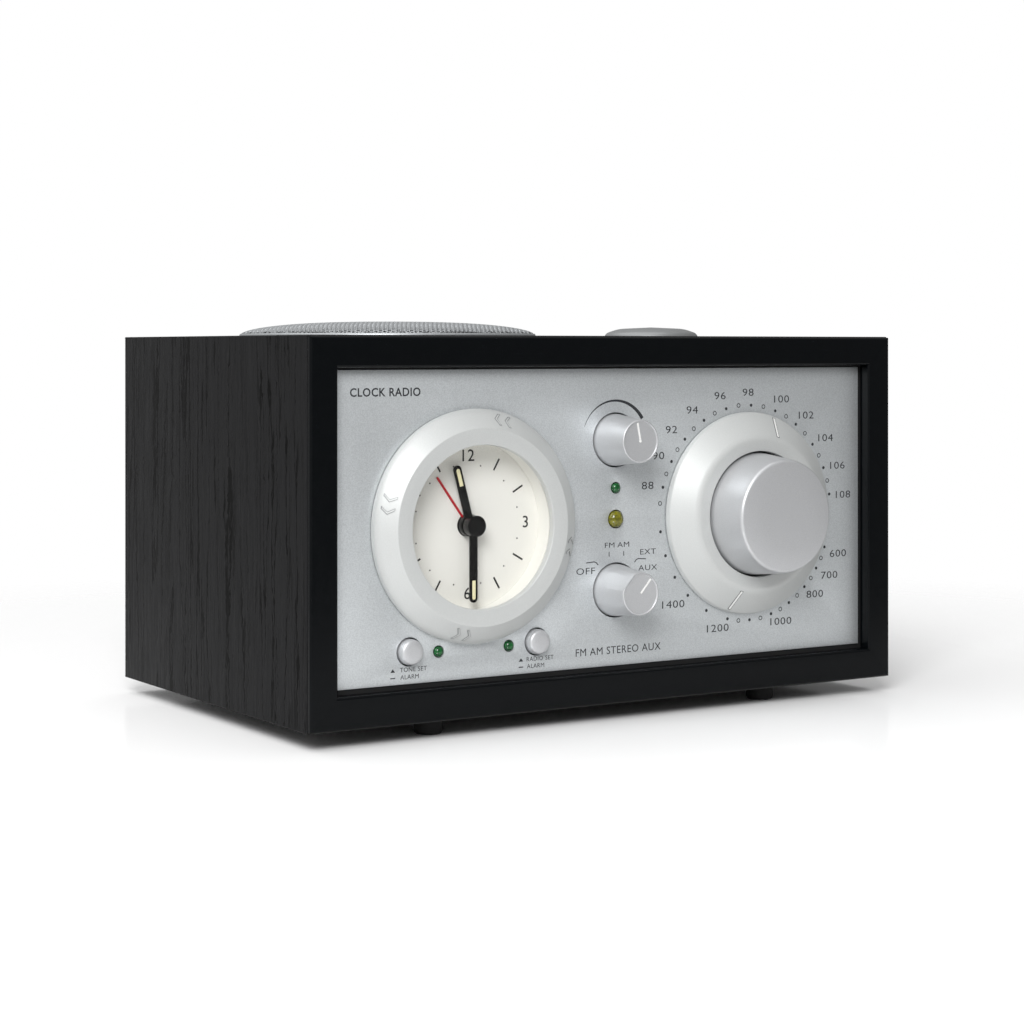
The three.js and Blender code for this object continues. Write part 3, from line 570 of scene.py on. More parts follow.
topDraw, bottomDraw = frameBar["side"] / frameBar["top"], frameBar["side"] / frameBar["bottom"]
frameBars = [
    frameSide("top", -halfWidth, halfWidth, frameBar["top"], topDraw, topDraw, (0, 0, cabinet["height"]),
              (1, 0, 0), (0, 0, -1)),
    frameSide("bottom", -halfWidth, halfWidth, frameBar["bottom"], bottomDraw, bottomDraw, (0, 0, 0),
              (1, 0, 0), (0, 0, 1)),
    frameSide("left", 0, cabinet["height"], frameBar["side"], 1 / bottomDraw, 1 / topDraw, (-halfWidth, 0, 0),
              (0, 0, 1), (1, 0, 0)),
    frameSide("right", 0, cabinet["height"], frameBar["side"], 1 / bottomDraw, 1 / topDraw, (halfWidth, 0, 0),
              (0, 0, 1), (-1, 0, 0)),
]
declare(joined("mitredFrontFrame", frameBars), satinLacquer, "cabinet", "black_lacquer", "front_frame")
print("front frame made")

plate = {"outline": (-96.3, 96.3, 11.2, 101.6), "clock": 30.6, "dial": 6.8, "knob": 8.35, "lamp": 1.75,
         "tuningLamp": 2.8, "button": 4.15, "strip": (-98.4, 98.4, 7.9, 103.6),
         "stripHole": (-96.0, 96.0, 11.5, 101.3)}
plateHoles = [circleLoop(clockAt, plate["clock"], 96), circleLoop(dialAt, plate["dial"], 48),
              circleLoop(volumeAt, plate["knob"], 96), circleLoop(sourceAt, plate["knob"], 96),
              circleLoop(powerLampAt, plate["lamp"], 32), circleLoop(tuningLampAt, plate["tuningLamp"], 48)]
plateHoles += [circleLoop(p, plate["button"], 64) for p in alarmButtons.values()]
plateHoles += [circleLoop(p, plate["lamp"], 32) for p in alarmLamps.values()]
plateStations = [(0.18, plateFront), (0.05, plateFront + 0.05), (0, plateFront + 0.2), (0, plateFront + 2)]
facePlate = sheet("facePlate", rectangleLoop(*plate["outline"]), plateHoles, plateStations, onFace)
declare(facePlate, sandSilver, "cabinet", "silver_paint", "face_plate")
# a black strip closes the gap between the plate and the frame
plateStrip = sheet("plateStrip", rectangleLoop(*plate["strip"]), [rectangleLoop(*plate["stripHole"])],
                   [(0, plateFront + 0.75), (0, plateFront + 1.9)], onFace)
declare(plateStrip, sparkBlack, "cabinet", "black_plastic")

# Printing on the plate. The scales give the clock angle of each frequency, and scaleFigures the angle and
# the radius of each figure.
inkFront = plateFront - 0.03
fmScale = {"MHz": [87, 88, 92, 96, 100, 104, 108], "at": [277, 285.5, 314.3, 346, 379.6, 411.8, 442],
           "dots": 34.0}
amScale = {"kHz": [600, 800, 1000, 1200, 1400, 1700], "at": [111.3, 136.7, 163.5, 193.2, 223.1, 262.2]}
scaleFigures = {
    "88": (284.6, 39.8), "90": (299.0, 39.4), "92": (312.5, 40.0), "94": (326.9, 39.4), "96": (344.1, 38.8),
    "98": (0.7, 38.3), "100": (20.7, 38.5), "102": (37.7, 38.8), "104": (53.8, 39.4), "106": (68.9, 39.4),
    "108": (83.2, 39.4), "600": (111.1, 40.0), "700": (122.3, 39.8), "800": (134.4, 38.7),
    "1000": (159.2, 37.4), "1200": (198.6, 37.5), "1400": (227.2, 39.8),
}
marks = {"dot": 0.5, "ringOuter": 0.72, "ringInner": 0.48, "figure": 2.35, "figureDrop": 0.35}
crescent = {"radius": 12.3, "from": 290, "to": 417, "thin": 0.08, "thick": 1.15, "points": 48}
inkStations = [(0, inkFront), (0, plateFront + 0.02)]


# Ink: a loop carried from just behind the plate's face to just in front of it.
def inkShape(loop, holes=()):
    return sheet("ink", loop, list(holes), inkStations, onFace)


# A frequency's clock angle, along the straight lines between the scale's fixed points.
def fmAngle(frequency):
    return np.interp(frequency, fmScale["MHz"], fmScale["at"])


# The same for the lower scale.
def amAngle(frequency):
    return np.interp(frequency, amScale["kHz"], amScale["at"])


inkPieces = []
fmDots = [(fmAngle(f), f % 2 == 0) for f in range(87, 109)]
amDots = [(amAngle(f), f % 100 == 0) for f in [*range(600, 1200, 50), *range(1200, 1701, 100)]]
for angle, filled in fmDots + amDots:
    at = clockPoint(dialAt, fmScale["dots"] if filled else fmScale["dots"] + 0.1, angle)
    if filled:
        inkPieces.append(inkShape(circleLoop(at, marks["dot"], 16)))
    else:
        inkPieces.append(inkShape(circleLoop(at, marks["ringOuter"], 20),
                                  [circleLoop(at, marks["ringInner"], 20)]))
# the loudness crescent round the volume knob: its outer edge is a circle, its inner edge draws in clockwise
sweep = np.linspace(crescent["from"], crescent["to"], crescent["points"])
thickness = np.linspace(crescent["thin"], crescent["thick"], crescent["points"])
outerEdge = np.column_stack(clockPoint(volumeAt, np.full(crescent["points"], crescent["radius"]), sweep))
innerEdge = np.column_stack(clockPoint(volumeAt, crescent["radius"] - thickness, sweep))
inkPieces.append(inkShape(np.concatenate([innerEdge, outerEdge[::-1]])))
# ticks and brackets round the source knob
inkPieces += [inkShape(rectangleLoop(x - 0.13, x + 0.13, 44.45, 45.85)) for x in (-2.5, 2.9)]


# A pen stroke: the line through the points, moved aside by half its width both ways, square to its slope.
def stroke(points, halfWide=0.14):
    p = np.array(points, float)
    d = np.gradient(p, axis=0)
    n = np.column_stack([-d[:, 1], d[:, 0]]) / np.linalg.norm(d, axis=1)[:, None]
    return inkShape(np.concatenate([p - n * halfWide, (p + n * halfWide)[::-1]]))


inkPieces.append(stroke([(-10.9, 42.9), (-7.9, 43.1), (-7.2, 42.8), (-6.5, 42.05)]))
inkPieces.append(stroke([(11.2, 43.1), (8.3, 43.3), (7.6, 43.0), (6.9, 42.25)]))
# alarm legends: an up arrow and a bar before two short words under each button
for x, _ in alarmButtons.values():
    left = x - 5.5
    inkPieces.append(inkShape(np.array([[left - 0.8, 14.85], [left + 0.8, 14.85], [left, 15.85]])))
    inkPieces.append(inkShape(rectangleLoop(left - 0.8, left + 0.8, 13.05, 13.35)))
declare(joined("scaleMarks", inkPieces), greyInk, "cabinet", "black_plastic")
figures = []
for text, (a, r) in scaleFigures.items():
    x, z = clockPoint(dialAt, r, a)
    figures.append((text, x, z - marks["figureDrop"], marks["figure"]))
figures += [("OFF", -11.1, 40.3, 2.0), ("FM", -2.3, 47.8, 1.6), ("AM", 2.85, 47.8, 1.6),
            ("EXT", 11.9, 45.2, 1.7), ("AUX", 11.9, 40.3, 1.7)]
declare(lettering("scaleFigures", figures, inkFront, thin=0.01, narrow=1.36), greyInk, "cabinet",
        "black_plastic")
declare(lettering("title", [("CLOCK RADIO", -79.9, 95.05, 2.4)], inkFront, thin=-0.06, narrow=0.95), greyInk,
        "cabinet", "black_plastic")
declare(lettering("waveLegend", [("FM AM STEREO AUX", 0.9, 15.85, 2.3)], inkFront), greyInk, "cabinet",
        "black_plastic")
small = [("TONE SET", -70.8, 15.35, 1.3), ("ALARM", -72.0, 13.25, 1.3), ("RADIO SET", -27.5, 15.35, 1.3),
         ("ALARM", -29.0, 13.25, 1.3)]
declare(lettering("alarmLegends", small, inkFront), greyInk, "cabinet", "black_plastic")
print("face plate printed")

# The clock. Profiles are lists of (radius, depth, corner radius).
ringProfile = roundedRing([
    (34.4, 4.05), (34.4, 2.6, 0.6), (33.3, 1.35, 0.9), (28.85, -1.9, 0.2), (24.0, -1.78, 0.2),
    (23.85, -0.9, 0.2), (23.85, 0.35), (26.9, 0.35), (26.9, 9.0), (29.4, 9.0), (29.4, 6.8), (27.8, 6.8),
    (27.8, 4.05)], 0.05)
clockRing = turned("clockRing", ringProfile, clockAt, 160, ring=True, smoothAngle=40)
declare(clockRing, pearlMoulding, "setting_ring", "pearl_silver", "clock_ring")
# direction marks: pairs of chevrons that stand on the ring's slope at four places. Each has six corners, at
# these radii and at these angles, in radians, from its own.
chevrons = {"at": (12.5, 283.0, 102.0, 191.0), "apart": 3.2, "radii": [30.2, 31.8, 33.2, 33.2, 31.8, 30.2],
            "angles": [0.026, -0.014, 0.026, 0.04, 0.001, 0.04], "shade": 0.12}
chevronPieces, chevronPaintedShades = [], []


# On the ring's slope: a point's depth follows from its radius.
def onBevel(p):
    r = np.hypot(p[:, 0] - clockAt[0], p[:, 1] - clockAt[1])
    return np.column_stack([p[:, 0], 0.73 * (r - 31.5) - 0.22 + p[:, 2], p[:, 1]])


for towards in chevrons["at"]:
    for offset in (-chevrons["apart"], chevrons["apart"]):
        r = np.array(chevrons["radii"])
        a = math.radians(towards + offset) + np.array(chevrons["angles"])
        loop = np.column_stack([clockAt[0] + r * np.sin(a), clockAt[1] + r * np.cos(a)])[::-1]
        chevronPieces.append(sheet("chevron", loop, [], [(0.05, -0.1), (0, -0.04), (0, 0.4)], onBevel))
        # under each chevron a darker copy, wider by the shade width, is painted shade round its raised edge
        chevronPaintedShades.append(sheet("shade", insetLoop(loop, -chevrons["shade"]), [], [(0, 0.02), (0, 0.4)],
                                   onBevel))
declare(joined("ringChevrons", chevronPieces), pearlMoulding, "setting_ring", "pearl_silver")
# the darker copies under the chevrons are painted shade
declare(joined("ringChevronPaintedShade", chevronPaintedShades), snoozeSilver, "setting_ring", "pearl_silver")

caseProfile = roundedRing([
    (26.5, 0.7), (26.5, 9.7), (33, 9.7), (33, 11.2), (3.5, 11.2), (3.5, 9.7), (24.9, 9.7, 0.2), (24.9, 2.5),
    (25.6, 2.5), (25.6, 0.7)], 0.15)
clockCase = turned("clockCase", caseProfile, clockAt, 128, ring=True)
declare(clockCase, creamMoulding, "cabinet", "cream_plastic", "clock_case")
lensProfile = rounded([(0, 0.75), (25.0, 0.9, 0.3), (25.4, 1.3, 0.2), (25.4, 2.1), (0, 2.1)], 0.2)
declare(turned("clockLens", lensProfile, clockAt, 128), clearAcrylic, "cabinet", "clear_acrylic",
        "clock_lens")
dialProfile = roundedRing([(3.4, 8.25), (24.86, 8.25, 0.02), (24.86, 8.6, 0.02), (24.5, 9.6), (3.4, 9.6)],
                          0.05)
clockDial = turned("clockDial", dialProfile, clockAt, 128, ring=True)
declare(clockDial, creamMoulding, "cabinet", "cream_plastic", "clock_dial")
dialFront = 8.25
dialInk = [(0, dialFront - 0.03), (0, dialFront + 0.02)]
dialMark = {"inner": 18.3, "outer": 22.2, "half": 0.27, "dotAt": 17.9, "dot": 0.24, "numeralAt": 20.3,
            "numeral": 3.5}
dialMarks = []
for hour in (1, 2, 4, 5, 7, 8, 10, 11):
    bar = radialBar(clockAt, dialMark["inner"], dialMark["outer"], dialMark["half"], hour * 30)
    dialMarks.append(sheet("mark", bar[::-1], [], dialInk, onFace))
for hour in range(12):
    dotCentre = clockPoint(clockAt, dialMark["dotAt"], hour * 30 + 15)
    dialMarks.append(sheet("mark", circleLoop(dotCentre, dialMark["dot"], 12), [], dialInk, onFace))
declare(joined("dialMarks", dialMarks), blackInk, "cabinet", "black_hand_enamel")
numerals = [(str(h), *clockPoint(clockAt, dialMark["numeralAt"], h * 30), dialMark["numeral"])
            for h in (12, 3, 6, 9)]
declare(lettering("dialNumerals", numerals, dialFront - 0.03, thin=-0.02), blackInk, "cabinet",
        "black_hand_enamel")

# Hands: a bar with a round tip, turned to its hour, with a groove of luminous paint near the tip.
minuteHand = {"length": 22.5, "half": 1.3, "front": 4.35, "thick": 0.55, "turn": 180.0,
              "lume": (16.0, 21.6, 0.55)}
hourHand = {"length": 18.3, "half": 1.3, "front": 6.1, "thick": 0.55, "turn": 345.0,
            "lume": (12.0, 17.3, 0.6)}
alarmHand = {"length": 17.8, "half": 0.32, "front": 7.65, "thick": 0.35, "turn": 324.0}


# A bar's outline: straight sides from the hub, and a half circle at the tip.
def handLoop(start, length, half, degrees, centre=clockAt, steps=12):
    tip = np.linspace(0, math.pi, steps)
    along = np.concatenate([[start], length - half + half * np.sin(tip), [start]])
    aside = np.concatenate([[half], half * np.cos(tip), [-half]])
    a = math.radians(degrees)
    loop = np.column_stack([along * math.sin(a) + aside * math.cos(a),
                            along * math.cos(a) - aside * math.sin(a)])
    return np.array(centre) + loop


# A hand's blade: its outline carried back through its thickness, with a rounded front rim.
def handBlade(hand):
    front, back = hand["front"], hand["front"] + hand["thick"]
    return sheet("blade", handLoop(0, hand["length"], hand["half"], hand["turn"]), [],
                 [(0.12, front), (0.03, front + 0.05), (0, front + 0.15), (0, back)], onFace)


# The luminous strip: the same outline, smaller, standing just proud of the blade.
def lumeStrip(name, hand, body):
    start, end, half = hand["lume"]
    loop = handLoop(start, end, half, hand["turn"])
    piece = sheet(name, loop, [], [(0.1, hand["front"] - 0.06), (0, hand["front"] - 0.02),
                                   (0, hand["front"] + 0.2)], onFace)
    declare(piece, luminousPaint, body, "cream_plastic")


minuteHub = rounded([(0, 2.4), (3.1, 2.4, 0.35), (3.1, 5.4, 0.1), (1.1, 5.4), (1.1, 18), (0, 18)], 0.25)
minuteParts = [handBlade(minuteHand), turned("hub", minuteHub, clockAt, 64)]
hourHub = roundedRing([(1.4, 5.95), (3.3, 5.95, 0.2), (3.3, 7.4, 0.1), (1.95, 7.4), (1.95, 17), (1.4, 17)],
                      0.05)
hourParts = [handBlade(hourHand), turned("hub", hourHub, clockAt, 64, ring=True)]
alarmParts = [sheet("blade", handLoop(3.1, alarmHand["length"], alarmHand["half"], alarmHand["turn"]), [],
                    [(0.05, alarmHand["front"]), (0, alarmHand["front"] + 0.08), (0, 8.0)], onFace)]
alarmHubProfile = roundedRing([(2.3, 7.6), (3.0, 7.6, 0.1), (3.0, 8.0, 0.1), (2.85, 8.0), (2.85, 16),
                               (2.3, 16)], 0.03)
alarmHub = turned("alarmHub", alarmHubProfile, clockAt, 64, ring=True)
declare(alarmHub, blackEnamel, "alarm_hand", "black_hand_enamel")
declare(joined("minuteHand", minuteParts), blackEnamel, "minute_hand", "black_hand_enamel", "minute_hand")
declare(joined("hourHand", hourParts), blackEnamel, "hour_hand", "black_hand_enamel", "hour_hand")
declare(joined("alarmHand", alarmParts), redEnamel, "alarm_hand", "red_hand_enamel", "alarm_hand")
lumeStrip("minuteLume", minuteHand, "minute_hand")
lumeStrip("hourLume", hourHand, "hour_hand")
print("clock made")

# the tuning dial: a cone with a flat face, and a pointer line on either side of the knob
tuningDial = {"turn": 16.7, "slopeInner": 25.0, "slopeOuter": 31.15, "slopeFront": -2.45, "slopeBack": 2.0,
              "line": (25.1, 31.0, 0.32), "shadeBar": (24.9, 31.2, 0.54)}
coneProfile = roundedRing([
    (31.9, 3.9), (31.9, 3.2, 0.25), (31.7, 2.65, 0.1), (31.45, 2.25, 0.1), (25.0, -2.45, 1.6),
    (23.6, -3.0, 0.7), (21.6, -2.85, 1.2), (19.75, -2.6, 0.2), (19.75, 0.6), (6.2, 0.6), (6.2, 2.4),
    (21.3, 2.4), (21.3, 0.6), (24, -1.0), (29.9, 3.9)], 0.1)
declare(turned("tuningDial", coneProfile, dialAt, 160, ring=True, smoothAngle=40), pearlMoulding,
        "tuning_pointer", "pearl_silver", "tuning_dial")


# A hairline laid on the dial's cone: its points are lifted from the flat to the cone's slope.
def onCone(p):
    r = np.hypot(p[:, 0] - dialAt[0], p[:, 1] - dialAt[1])
    share = (r - tuningDial["slopeInner"]) / (tuningDial["slopeOuter"] - tuningDial["slopeInner"])
    slope = tuningDial["slopeFront"] + share * (tuningDial["slopeBack"] - tuningDial["slopeFront"])
    return np.column_stack([p[:, 0], slope - 0.07 + p[:, 2], p[:, 1]])


# a black ring at the bottom of the gap round the tuning knob: painted shade that darkens the gap
gapShadeProfile = [(17.0, 0.35), (19.74, 0.35), (19.74, 0.58), (17.0, 0.58)]
declare(turned("dialGapPaintedShade", gapShadeProfile, dialAt, 96, ring=True), sparkBlack, "tuning_pointer", "black_plastic")
pointerLines = [sheet("line", radialBar(dialAt, *tuningDial["line"], tuningDial["turn"] + side)[::-1], [],
                      [(0.06, 0), (0, 0.05), (0, 0.3)], onCone) for side in (0, 180)]
declare(joined("dialPointers", pointerLines), whiteInk, "tuning_pointer", "pearl_silver")
# under each white pointer line a wider grey bar is painted shade round the raised line
pointerPaintedShades = [sheet("line", radialBar(dialAt, *tuningDial["shadeBar"], tuningDial["turn"] + side)[::-1], [],
                    [(0.0, 0.03), (0, 0.3)], onCone) for side in (0, 180)]
declare(joined("dialPointerPaintedShade", pointerPaintedShades), greyInk, "tuning_pointer", "black_plastic")
tuningKnobProfile = rounded([
    (0, -16.4), (12.0, -16.15, 6.0), (17.35, -15.5, 1.7), (17.75, -13.6, 0.6), (18.9, -3.0, 1.0),
    (19.2, 0.0, 0.2), (0, 0.0)], 0.4, 9)
declare(turned("tuningKnob", tuningKnobProfile, dialAt, 160, smoothAngle=40), satinAluminium,
        "tuning_control", "satin_aluminium", "tuning_knob")
print("tuning dial and knob made")

knobProfile = rounded([
    (0, -8.65), (5.95, -8.65, 0.12), (6.1, -9.05, 0.12), (6.5, -8.9, 0.22), (7.35, 0.0, 1.0),
    (7.95, 4.6, 0.4), (7.95, 8.0), (0, 8.0)], 0.2, 7)
knobPointer = {"inner": 0.2, "outer": 5.6, "half": 0.24, "front": -8.78, "back": -8.5, "dot": 0.42}


# The line on a knob's end: a bar from its middle to its rim, and on one knob a dot at the middle.
def knobFace(name, centre, turn, body, dot):
    front, back = knobPointer["front"], knobPointer["back"]
    bar = radialBar(centre, knobPointer["inner"], knobPointer["outer"], knobPointer["half"], turn)[::-1]
    strip = sheet(name, bar, [], [(0.05, front), (0, front + 0.05), (0, back)], onFace)
    if dot:
        spot = sheet("spot", circleLoop(centre, knobPointer["dot"], 20), [],
                     [(0.05, front - 0.03), (0, front + 0.02), (0, back)], onFace)
        strip = joined(name, [strip, spot])
    declare(strip, whiteInk, body, "pearl_silver")


volumeTurn, sourceTurn = -11.0, 41.0
declare(turned("volumeKnob", knobProfile, volumeAt, 128, smoothAngle=40), satinAluminium, "volume_control",
        "satin_aluminium", "volume_knob")
sourceKnob = turned("sourceKnob", knobProfile, sourceAt, 256, smoothAngle=40, flat=(5.6, 8.0),
                    flatAngle=sourceTurn - 90)
declare(sourceKnob, satinAluminium, "source_control", "satin_aluminium", "source_knob")
knobFace("volumePointer", volumeAt, volumeTurn, "volume_control", True)
knobFace("sourcePointer", sourceAt, sourceTurn, "source_control", False)


# A lamp: a dome of r sin a and 0.75 r (1 - cos a), on a stem that goes back through the plate.
def lampLens(name, centre, radius, material, slotName, cadNode):
    rise = radius * 0.75
    dome = np.linspace(0, math.pi / 2, 12)
    domeProfile = np.column_stack([radius * np.sin(dome), plateFront - rise + rise * (1 - np.cos(dome))])
    stem = [(radius, 8.3), (radius + 0.4, 8.3), (radius + 0.4, 9.5), (0, 9.5)]
    declare(turned(name, np.concatenate([domeProfile, stem]), centre, 48), material, "cabinet", slotName,
            cadNode)


lampLens("powerLamp", powerLampAt, 1.5, greenEpoxy, "green_lamp", "power_lamp")
lampLens("tuningLamp", tuningLampAt, 2.5, oliveEpoxy, "amber_lamp", "tuning_lamp")
lampLens("toneAlarmLamp", alarmLamps["tone"], 1.5, greenEpoxy, "green_lamp", "tone_alarm_lamp")
lampLens("radioAlarmLamp", alarmLamps["radio"], 1.5, greenEpoxy, "green_lamp", "radio_alarm_lamp")
buttonProfile = rounded([(0, 1.55), (2.3, 1.65, 1.2), (3.5, 2.1, 0.5), (3.75, 3.2, 0.5), (3.75, 8), (1.8, 8),
                         (1.8, 12), (0, 12)], 0.3, 7)
for word, at in alarmButtons.items():
    button = turned(f"{word}AlarmButton", buttonProfile, at, 72, smoothAngle=40)
    declare(button, satinAluminium, f"{word}_alarm_button", "pearl_silver", f"{word}_alarm_button")
print("controls made")

grille = {"radius": 46.1, "base": 111.6, "rise": 4.45, "pitch": 1.5, "hole": 0.63, "border": 45.8,
          "sheet": 0.25, "rimLift": 0.12}


# The dome's height falls to its edge as the root of 1 - share^2.5, a fuller shoulder than a circle's.
def domeHeight(r, lift=0.0):
    share = np.clip(r / grille["radius"], 0, 1)
    return grille["base"] + grille["rise"] * np.sqrt(1 - share ** 2.5) + lift


# The mesh: six-sided cells, each with a six-sided hole, stand in rows half a pitch apart and are lifted to
# the dome. Solidify gives them the sheet's thickness.
def perforatedDome():
    pitch, reach = grille["pitch"], grille["radius"] - 0.1
    rows = np.arange(-int(reach / pitch * 1.2), int(reach / pitch * 1.2) + 1)
    i, j = np.meshgrid(rows, rows)
    centres = np.column_stack([((i + 0.5 * j) * pitch).reshape(-1),
                               (j * pitch * math.sqrt(3) / 2).reshape(-1)])
    centres = centres[np.hypot(centres[:, 0], centres[:, 1]) < reach - pitch / 2]
    a = (np.arange(6) + 0.5) * math.pi / 3
    outerRing = np.column_stack([np.cos(a), np.sin(a)]) * pitch / math.sqrt(3)  # the cell's hexagon
    innerRing = np.column_stack([np.cos(a), np.sin(a)]) * grille["hole"]
    cell = np.concatenate([outerRing, innerRing])
    flat = (centres[:, None, :] + cell[None, :, :]).reshape(-1, 2)
    faces = (gridFaces(2, 6)[None] + (np.arange(len(centres)) * 12)[:, None, None]).reshape(-1, 4)
    z = domeHeight(np.hypot(flat[:, 0], flat[:, 1]))
    points = np.column_stack([flat[:, 0] + speakerAt[0], flat[:, 1] + speakerAt[1], z])
    piece = surface("speakerGrille", points, [faces], closed=False)
    shell = piece.modifiers.new("sheet thickness", "SOLIDIFY")
    shell.thickness, shell.offset = grille["sheet"] * mm, -1
    return piece


grillePiece = perforatedDome()
if grillePiece.data.polygons[0].normal.z < 0:
    grillePiece.data.flip_normals()
declare(grillePiece, grilleEnamel, "cabinet", "silver_mesh", "speaker_grille")
rimRadius = np.linspace(grille["border"], grille["radius"], 10)
rimTop = np.column_stack([rimRadius, domeHeight(rimRadius, grille["rimLift"])])
rimProfile = np.concatenate([rimTop, [(grille["radius"], grille["base"]),
                                      (grille["border"], grille["base"])]])
grilleRim = turned("grilleRim", rimProfile, speakerAt, 160, upright=True, ring=True)
declare(grilleRim, grilleEnamel, "cabinet", "silver_mesh")
print("speaker grille made")

snoozeTop = cabinet["height"] + 3.3
snoozeProfile = rounded([
    (0, snoozeTop), (11.0, snoozeTop - 0.5, 3.0), (15.0, snoozeTop - 1.9, 1.6), (15.9, snoozeTop - 3.4, 0.8),
    (15.9, 104.6), (14.4, 104.6), (14.4, 109.4), (2, 109.4), (2, 101.2), (0, 101.2)], 0.2, 9)
declare(turned("snoozeButton", snoozeProfile, snoozeAt, 128, upright=True, smoothAngle=40), snoozeSilver,
        "snooze_button", "pearl_silver", "snooze_button")

footProfile = rounded([(0, -5), (3.6, -5, 0.4), (4.2, -4.3, 0.4), (4.3, -0.1, 0.2), (0, -0.1)], 0.2)
for name in ("foot_front_left", "foot_front_right", "foot_rear_left", "foot_rear_right"):
    low, high = (np.array(c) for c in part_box(name))
    middle = ((low + high) / 2 - cabinetOrigin) / mm
    foot = turned("rubber" + name.title().replace("_", ""), footProfile, middle[:2], 48, upright=True)
    declare(foot, footRubber, "cabinet", "black_rubber", name)
portProfile = roundedRing([(14.0, 42), (14.0, 4.0, 2.0), (15.6, 0.35, 1.2), (15.9, 0.35, 0.1), (15.9, 42)],
                          0.2)
bassPort = turned("bassPort", portProfile, portAt, 72, upright=True, ring=True)
declare(bassPort, sparkBlack, "cabinet", "black_plastic", "port_tube")
print("snooze button, feet and bass port made")

panel = {"front": 125.2, "back": 128.2, "outline": (-98.4, 98.4, 7.9, 103.6), "aerial": (62.0, 82.0, 5.0),
         "aerialSwitch": (28.4, 39.6, 79.6, 84.4, 0.4), "batteryHole": (29.7, 90.3, 28.7, 51.3, 1.0),
         "screw": 1.8}
sockets = {"dc_inlet": (-78.0, 22.0, 5.8), "headphone_jack": (-48.0, 22.0, 4.3),
           "aux_jack": (-26.0, 22.0, 4.3)}
battery = {"at": (60.0, 40.0), "half": (30, 11), "ribHalf": (6, 0.4), "ribs": (-2, 0, 2)}
screwsAt = [(x, z) for x in (-93.35, 93.35) for z in (13.0, 98.5)]
back = panel["back"]
panelHoles = [circleLoop((x, z), r, 48) for x, z, r in [*sockets.values(), panel["aerial"]]]
panelHoles += [rectangleLoop(*panel["aerialSwitch"]), rectangleLoop(*panel["batteryHole"])]
panelHoles += [circleLoop(p, panel["screw"], 24) for p in screwsAt]
outerRim = [(0.3, back), (0.09, back - 0.09), (0, back - 0.3)]
backPanel = sheet("backPanel", rectangleLoop(*panel["outline"]), panelHoles, [*outerRim, (0, panel["front"])],
                  onFace)
declare(backPanel, sparkBlack, "cabinet", "black_plastic", "back_panel")


# A rectangle of half a width by half a height about the battery's middle, lifted by some height.
def batteryLoop(halfWide, halfHigh, corner, lift=0):
    x, z = battery["at"]
    return rectangleLoop(x - halfWide, x + halfWide, z + lift - halfHigh, z + lift + halfHigh, corner)


doorParts = [sheet("door", batteryLoop(*battery["half"], 0.8), [], [*outerRim, (0, panel["front"] + 0.8)],
                   onFace)]
doorParts += [sheet("rib", batteryLoop(*battery["ribHalf"], 0.3, lift), [],
                    [(0.2, back + 0.7), (0, back + 0.5), (0, back - 0.5)], onFace)
                    for lift in battery["ribs"]]
declare(joined("batteryDoor", doorParts), sparkBlack, "battery_door", "black_plastic", "battery_door")
# a screw: a domed head with a cross cut into it, over a plain core
crossLoop = np.array([[0.3, 0.3], [0.3, 1.6], [-0.3, 1.6], [-0.3, 0.3], [-1.6, 0.3], [-1.6, -0.3],
                      [-0.3, -0.3], [-0.3, -1.6], [0.3, -1.6], [0.3, -0.3], [1.6, -0.3], [1.6, 0.3]])
headStations = [(0.9, back + 2.0), (0.5, back + 1.9), (0.15, back + 1.4), (0, back + 0.9), (0, back + 0.1)]
coreProfile = [(0, back + 1.1), (2.2, back + 1.1), (2.2, back + 0.12), (1.5, back + 0.12), (1.5, back - 12),
               (0, back - 12.5)]
screwNames = ["back_screw_lower_left", "back_screw_upper_left", "back_screw_lower_right",
              "back_screw_upper_right"]
for at, cadName in zip(screwsAt, screwNames):
    head = sheet("head", circleLoop(at, 3.2, 48), [crossLoop + np.array(at)], headStations, onFace)
    core = turned("core", coreProfile, at, 24)
    declare(joined(cadName.title().replace("_", ""), [head, core]), platedSteel, "cabinet", "bright_steel",
            cadName)
rearLegends = [("DC IN", -78, 31.5, 2.6), ("HEADPHONES", -48, 31.5, 2.2), ("AUX IN", -26, 31.5, 2.6),
               ("AERIAL", 62, 92.0, 2.6), ("INT  EXT", 34, 88.5, 2.4), ("BATTERY", 60, 55.5, 2.6)]
declare(lettering("rearLegends", rearLegends, back + 0.04, facing=1), whiteInk, "cabinet", "cream_plastic")
print("rear made")

# The floor is white as it is seen, gives back less light than it seems to, and fades with distance. The
# room's light goes from dark to bright towards brightSide.
stage = {"floorSize": 6.0, "floorGloss": 0.12, "mirror": 0.3, "seen": 1.2, "bounce": 0.95,
         "fade": (0.2, 0.42), "dark": 0.27, "bright": 0.64, "brightSide": (-0.62, 0.25, 0.74)}
half = stage["floorSize"] / 2
floorMesh = bpy.data.meshes.new("floor")
floorMesh.from_pydata([(-half, -half, 0), (half, -half, 0), (half, half, 0), (-half, half, 0)], [],
                      [(0, 1, 2, 3)])
floor = bpy.data.objects.new("floor", floorMesh)
bpy.context.scene.collection.objects.link(floor)
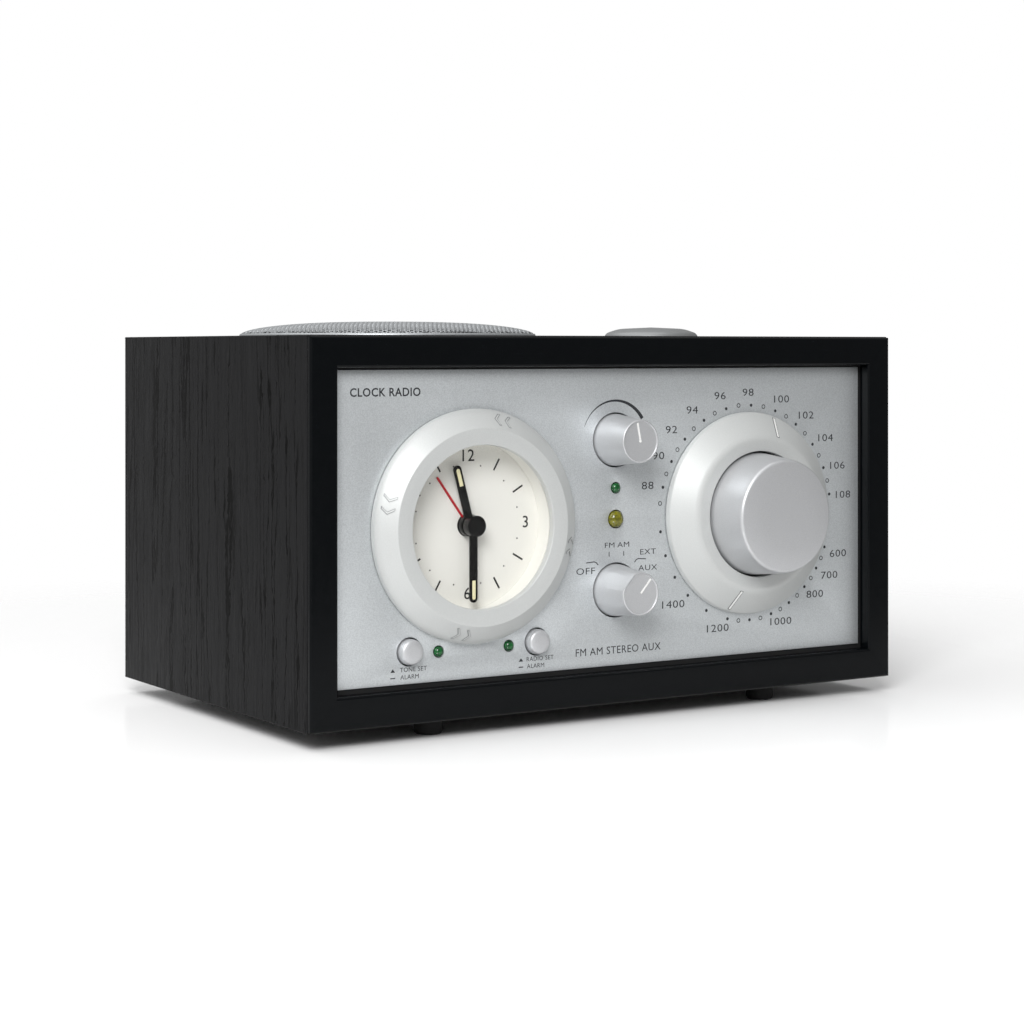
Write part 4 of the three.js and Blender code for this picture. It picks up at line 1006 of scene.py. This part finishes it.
# a glossy white sweep, burnt out to white, which still gives the object only the light of a white table
floorMaterial, tree, shader, where = newFinish("whiteAcrylicSweep", "#ffffff", stage["floorGloss"])
seen = node(tree, "ShaderNodeLightPath").outputs["Is Camera Ray"]
whiteness = node(tree, "ShaderNodeMapRange", {0: seen}, in_3=stage["bounce"], in_4=stage["seen"]).outputs[0]
diffuse = node(tree, "ShaderNodeBsdfDiffuse", {0: whiteness})
gloss = node(tree, "ShaderNodeBsdfGlossy", in_1=stage["floorGloss"])
mixed = node(tree, "ShaderNodeMixShader", {1: diffuse.outputs[0], 2: gloss.outputs[0]}, in_0=stage["mirror"])
distance = node(tree, "ShaderNodeVectorMath", {0: where}, operation="LENGTH").outputs["Value"]
away = node(tree, "ShaderNodeMapRange", {0: distance}, in_1=stage["fade"][0], in_2=stage["fade"][1])
clear = node(tree, "ShaderNodeBsdfTransparent")  # the sweep has no end: it fades into the white room
faded = node(tree, "ShaderNodeMixShader", {0: away.outputs[0], 1: mixed.outputs[0], 2: clear.outputs[0]})
tree.links.new(faded.outputs[0], tree.nodes["Material Output"].inputs[0])
floorMesh.materials.append(floorMaterial)

# the room: white behind the object as it is seen, and for the light on the object dim on the right and in
# front, and bright on the left, behind and above
world = bpy.data.worlds.new("studio")
bpy.context.scene.world = world
world.use_nodes = True
tree = world.node_tree
towards = node(tree, "ShaderNodeTexCoord").outputs["Generated"]
facing = node(tree, "ShaderNodeVectorMath", {0: towards}, operation="DOT_PRODUCT", in_1=stage["brightSide"])
room = node(tree, "ShaderNodeMapRange", {0: facing.outputs["Value"]}, interpolation_type="SMOOTHSTEP",
            in_1=-0.3, in_2=0.9, in_3=stage["dark"], in_4=stage["bright"])
seen = node(tree, "ShaderNodeLightPath").outputs["Is Camera Ray"]
strength = node(tree, "ShaderNodeMix", {0: seen, 2: room.outputs[0]}, in_3=1.0)
background = tree.nodes["Background"]
background.inputs[0].default_value = (1, 1, 1, 1)
tree.links.new(strength.outputs[0], background.inputs[1])
bpy.context.scene.view_settings.view_transform = "Standard"


# A soft box: a square area light aimed at a point, both in cabinet millimetres.
def softBox(name, at, towards, size, watts):
    data = bpy.data.lights.new(name, "AREA")
    data.shape, data.size, data.energy = "SQUARE", size * mm, watts
    lamp = bpy.data.objects.new(name, data)
    bpy.context.scene.collection.objects.link(lamp)
    start, end = Vector(np.array(at) * mm + cabinetOrigin), Vector(np.array(towards) * mm + cabinetOrigin)
    lamp.location = start
    lamp.rotation_euler = (end - start).to_track_quat("-Z", "Y").to_euler()


softBox("keyLight", (-620, -700, 640), (-20, 0, 60), 480, 10)
# an even light from above, as soft as an overcast sky
overhead = bpy.data.objects.new("overheadLight", bpy.data.lights.new("overheadLight", "SUN"))
overhead.data.energy, overhead.data.angle = 0.9, math.radians(70)
overhead.rotation_euler = (math.radians(-12), math.radians(-14), 0)
bpy.context.scene.collection.objects.link(overhead)
print("stage set")
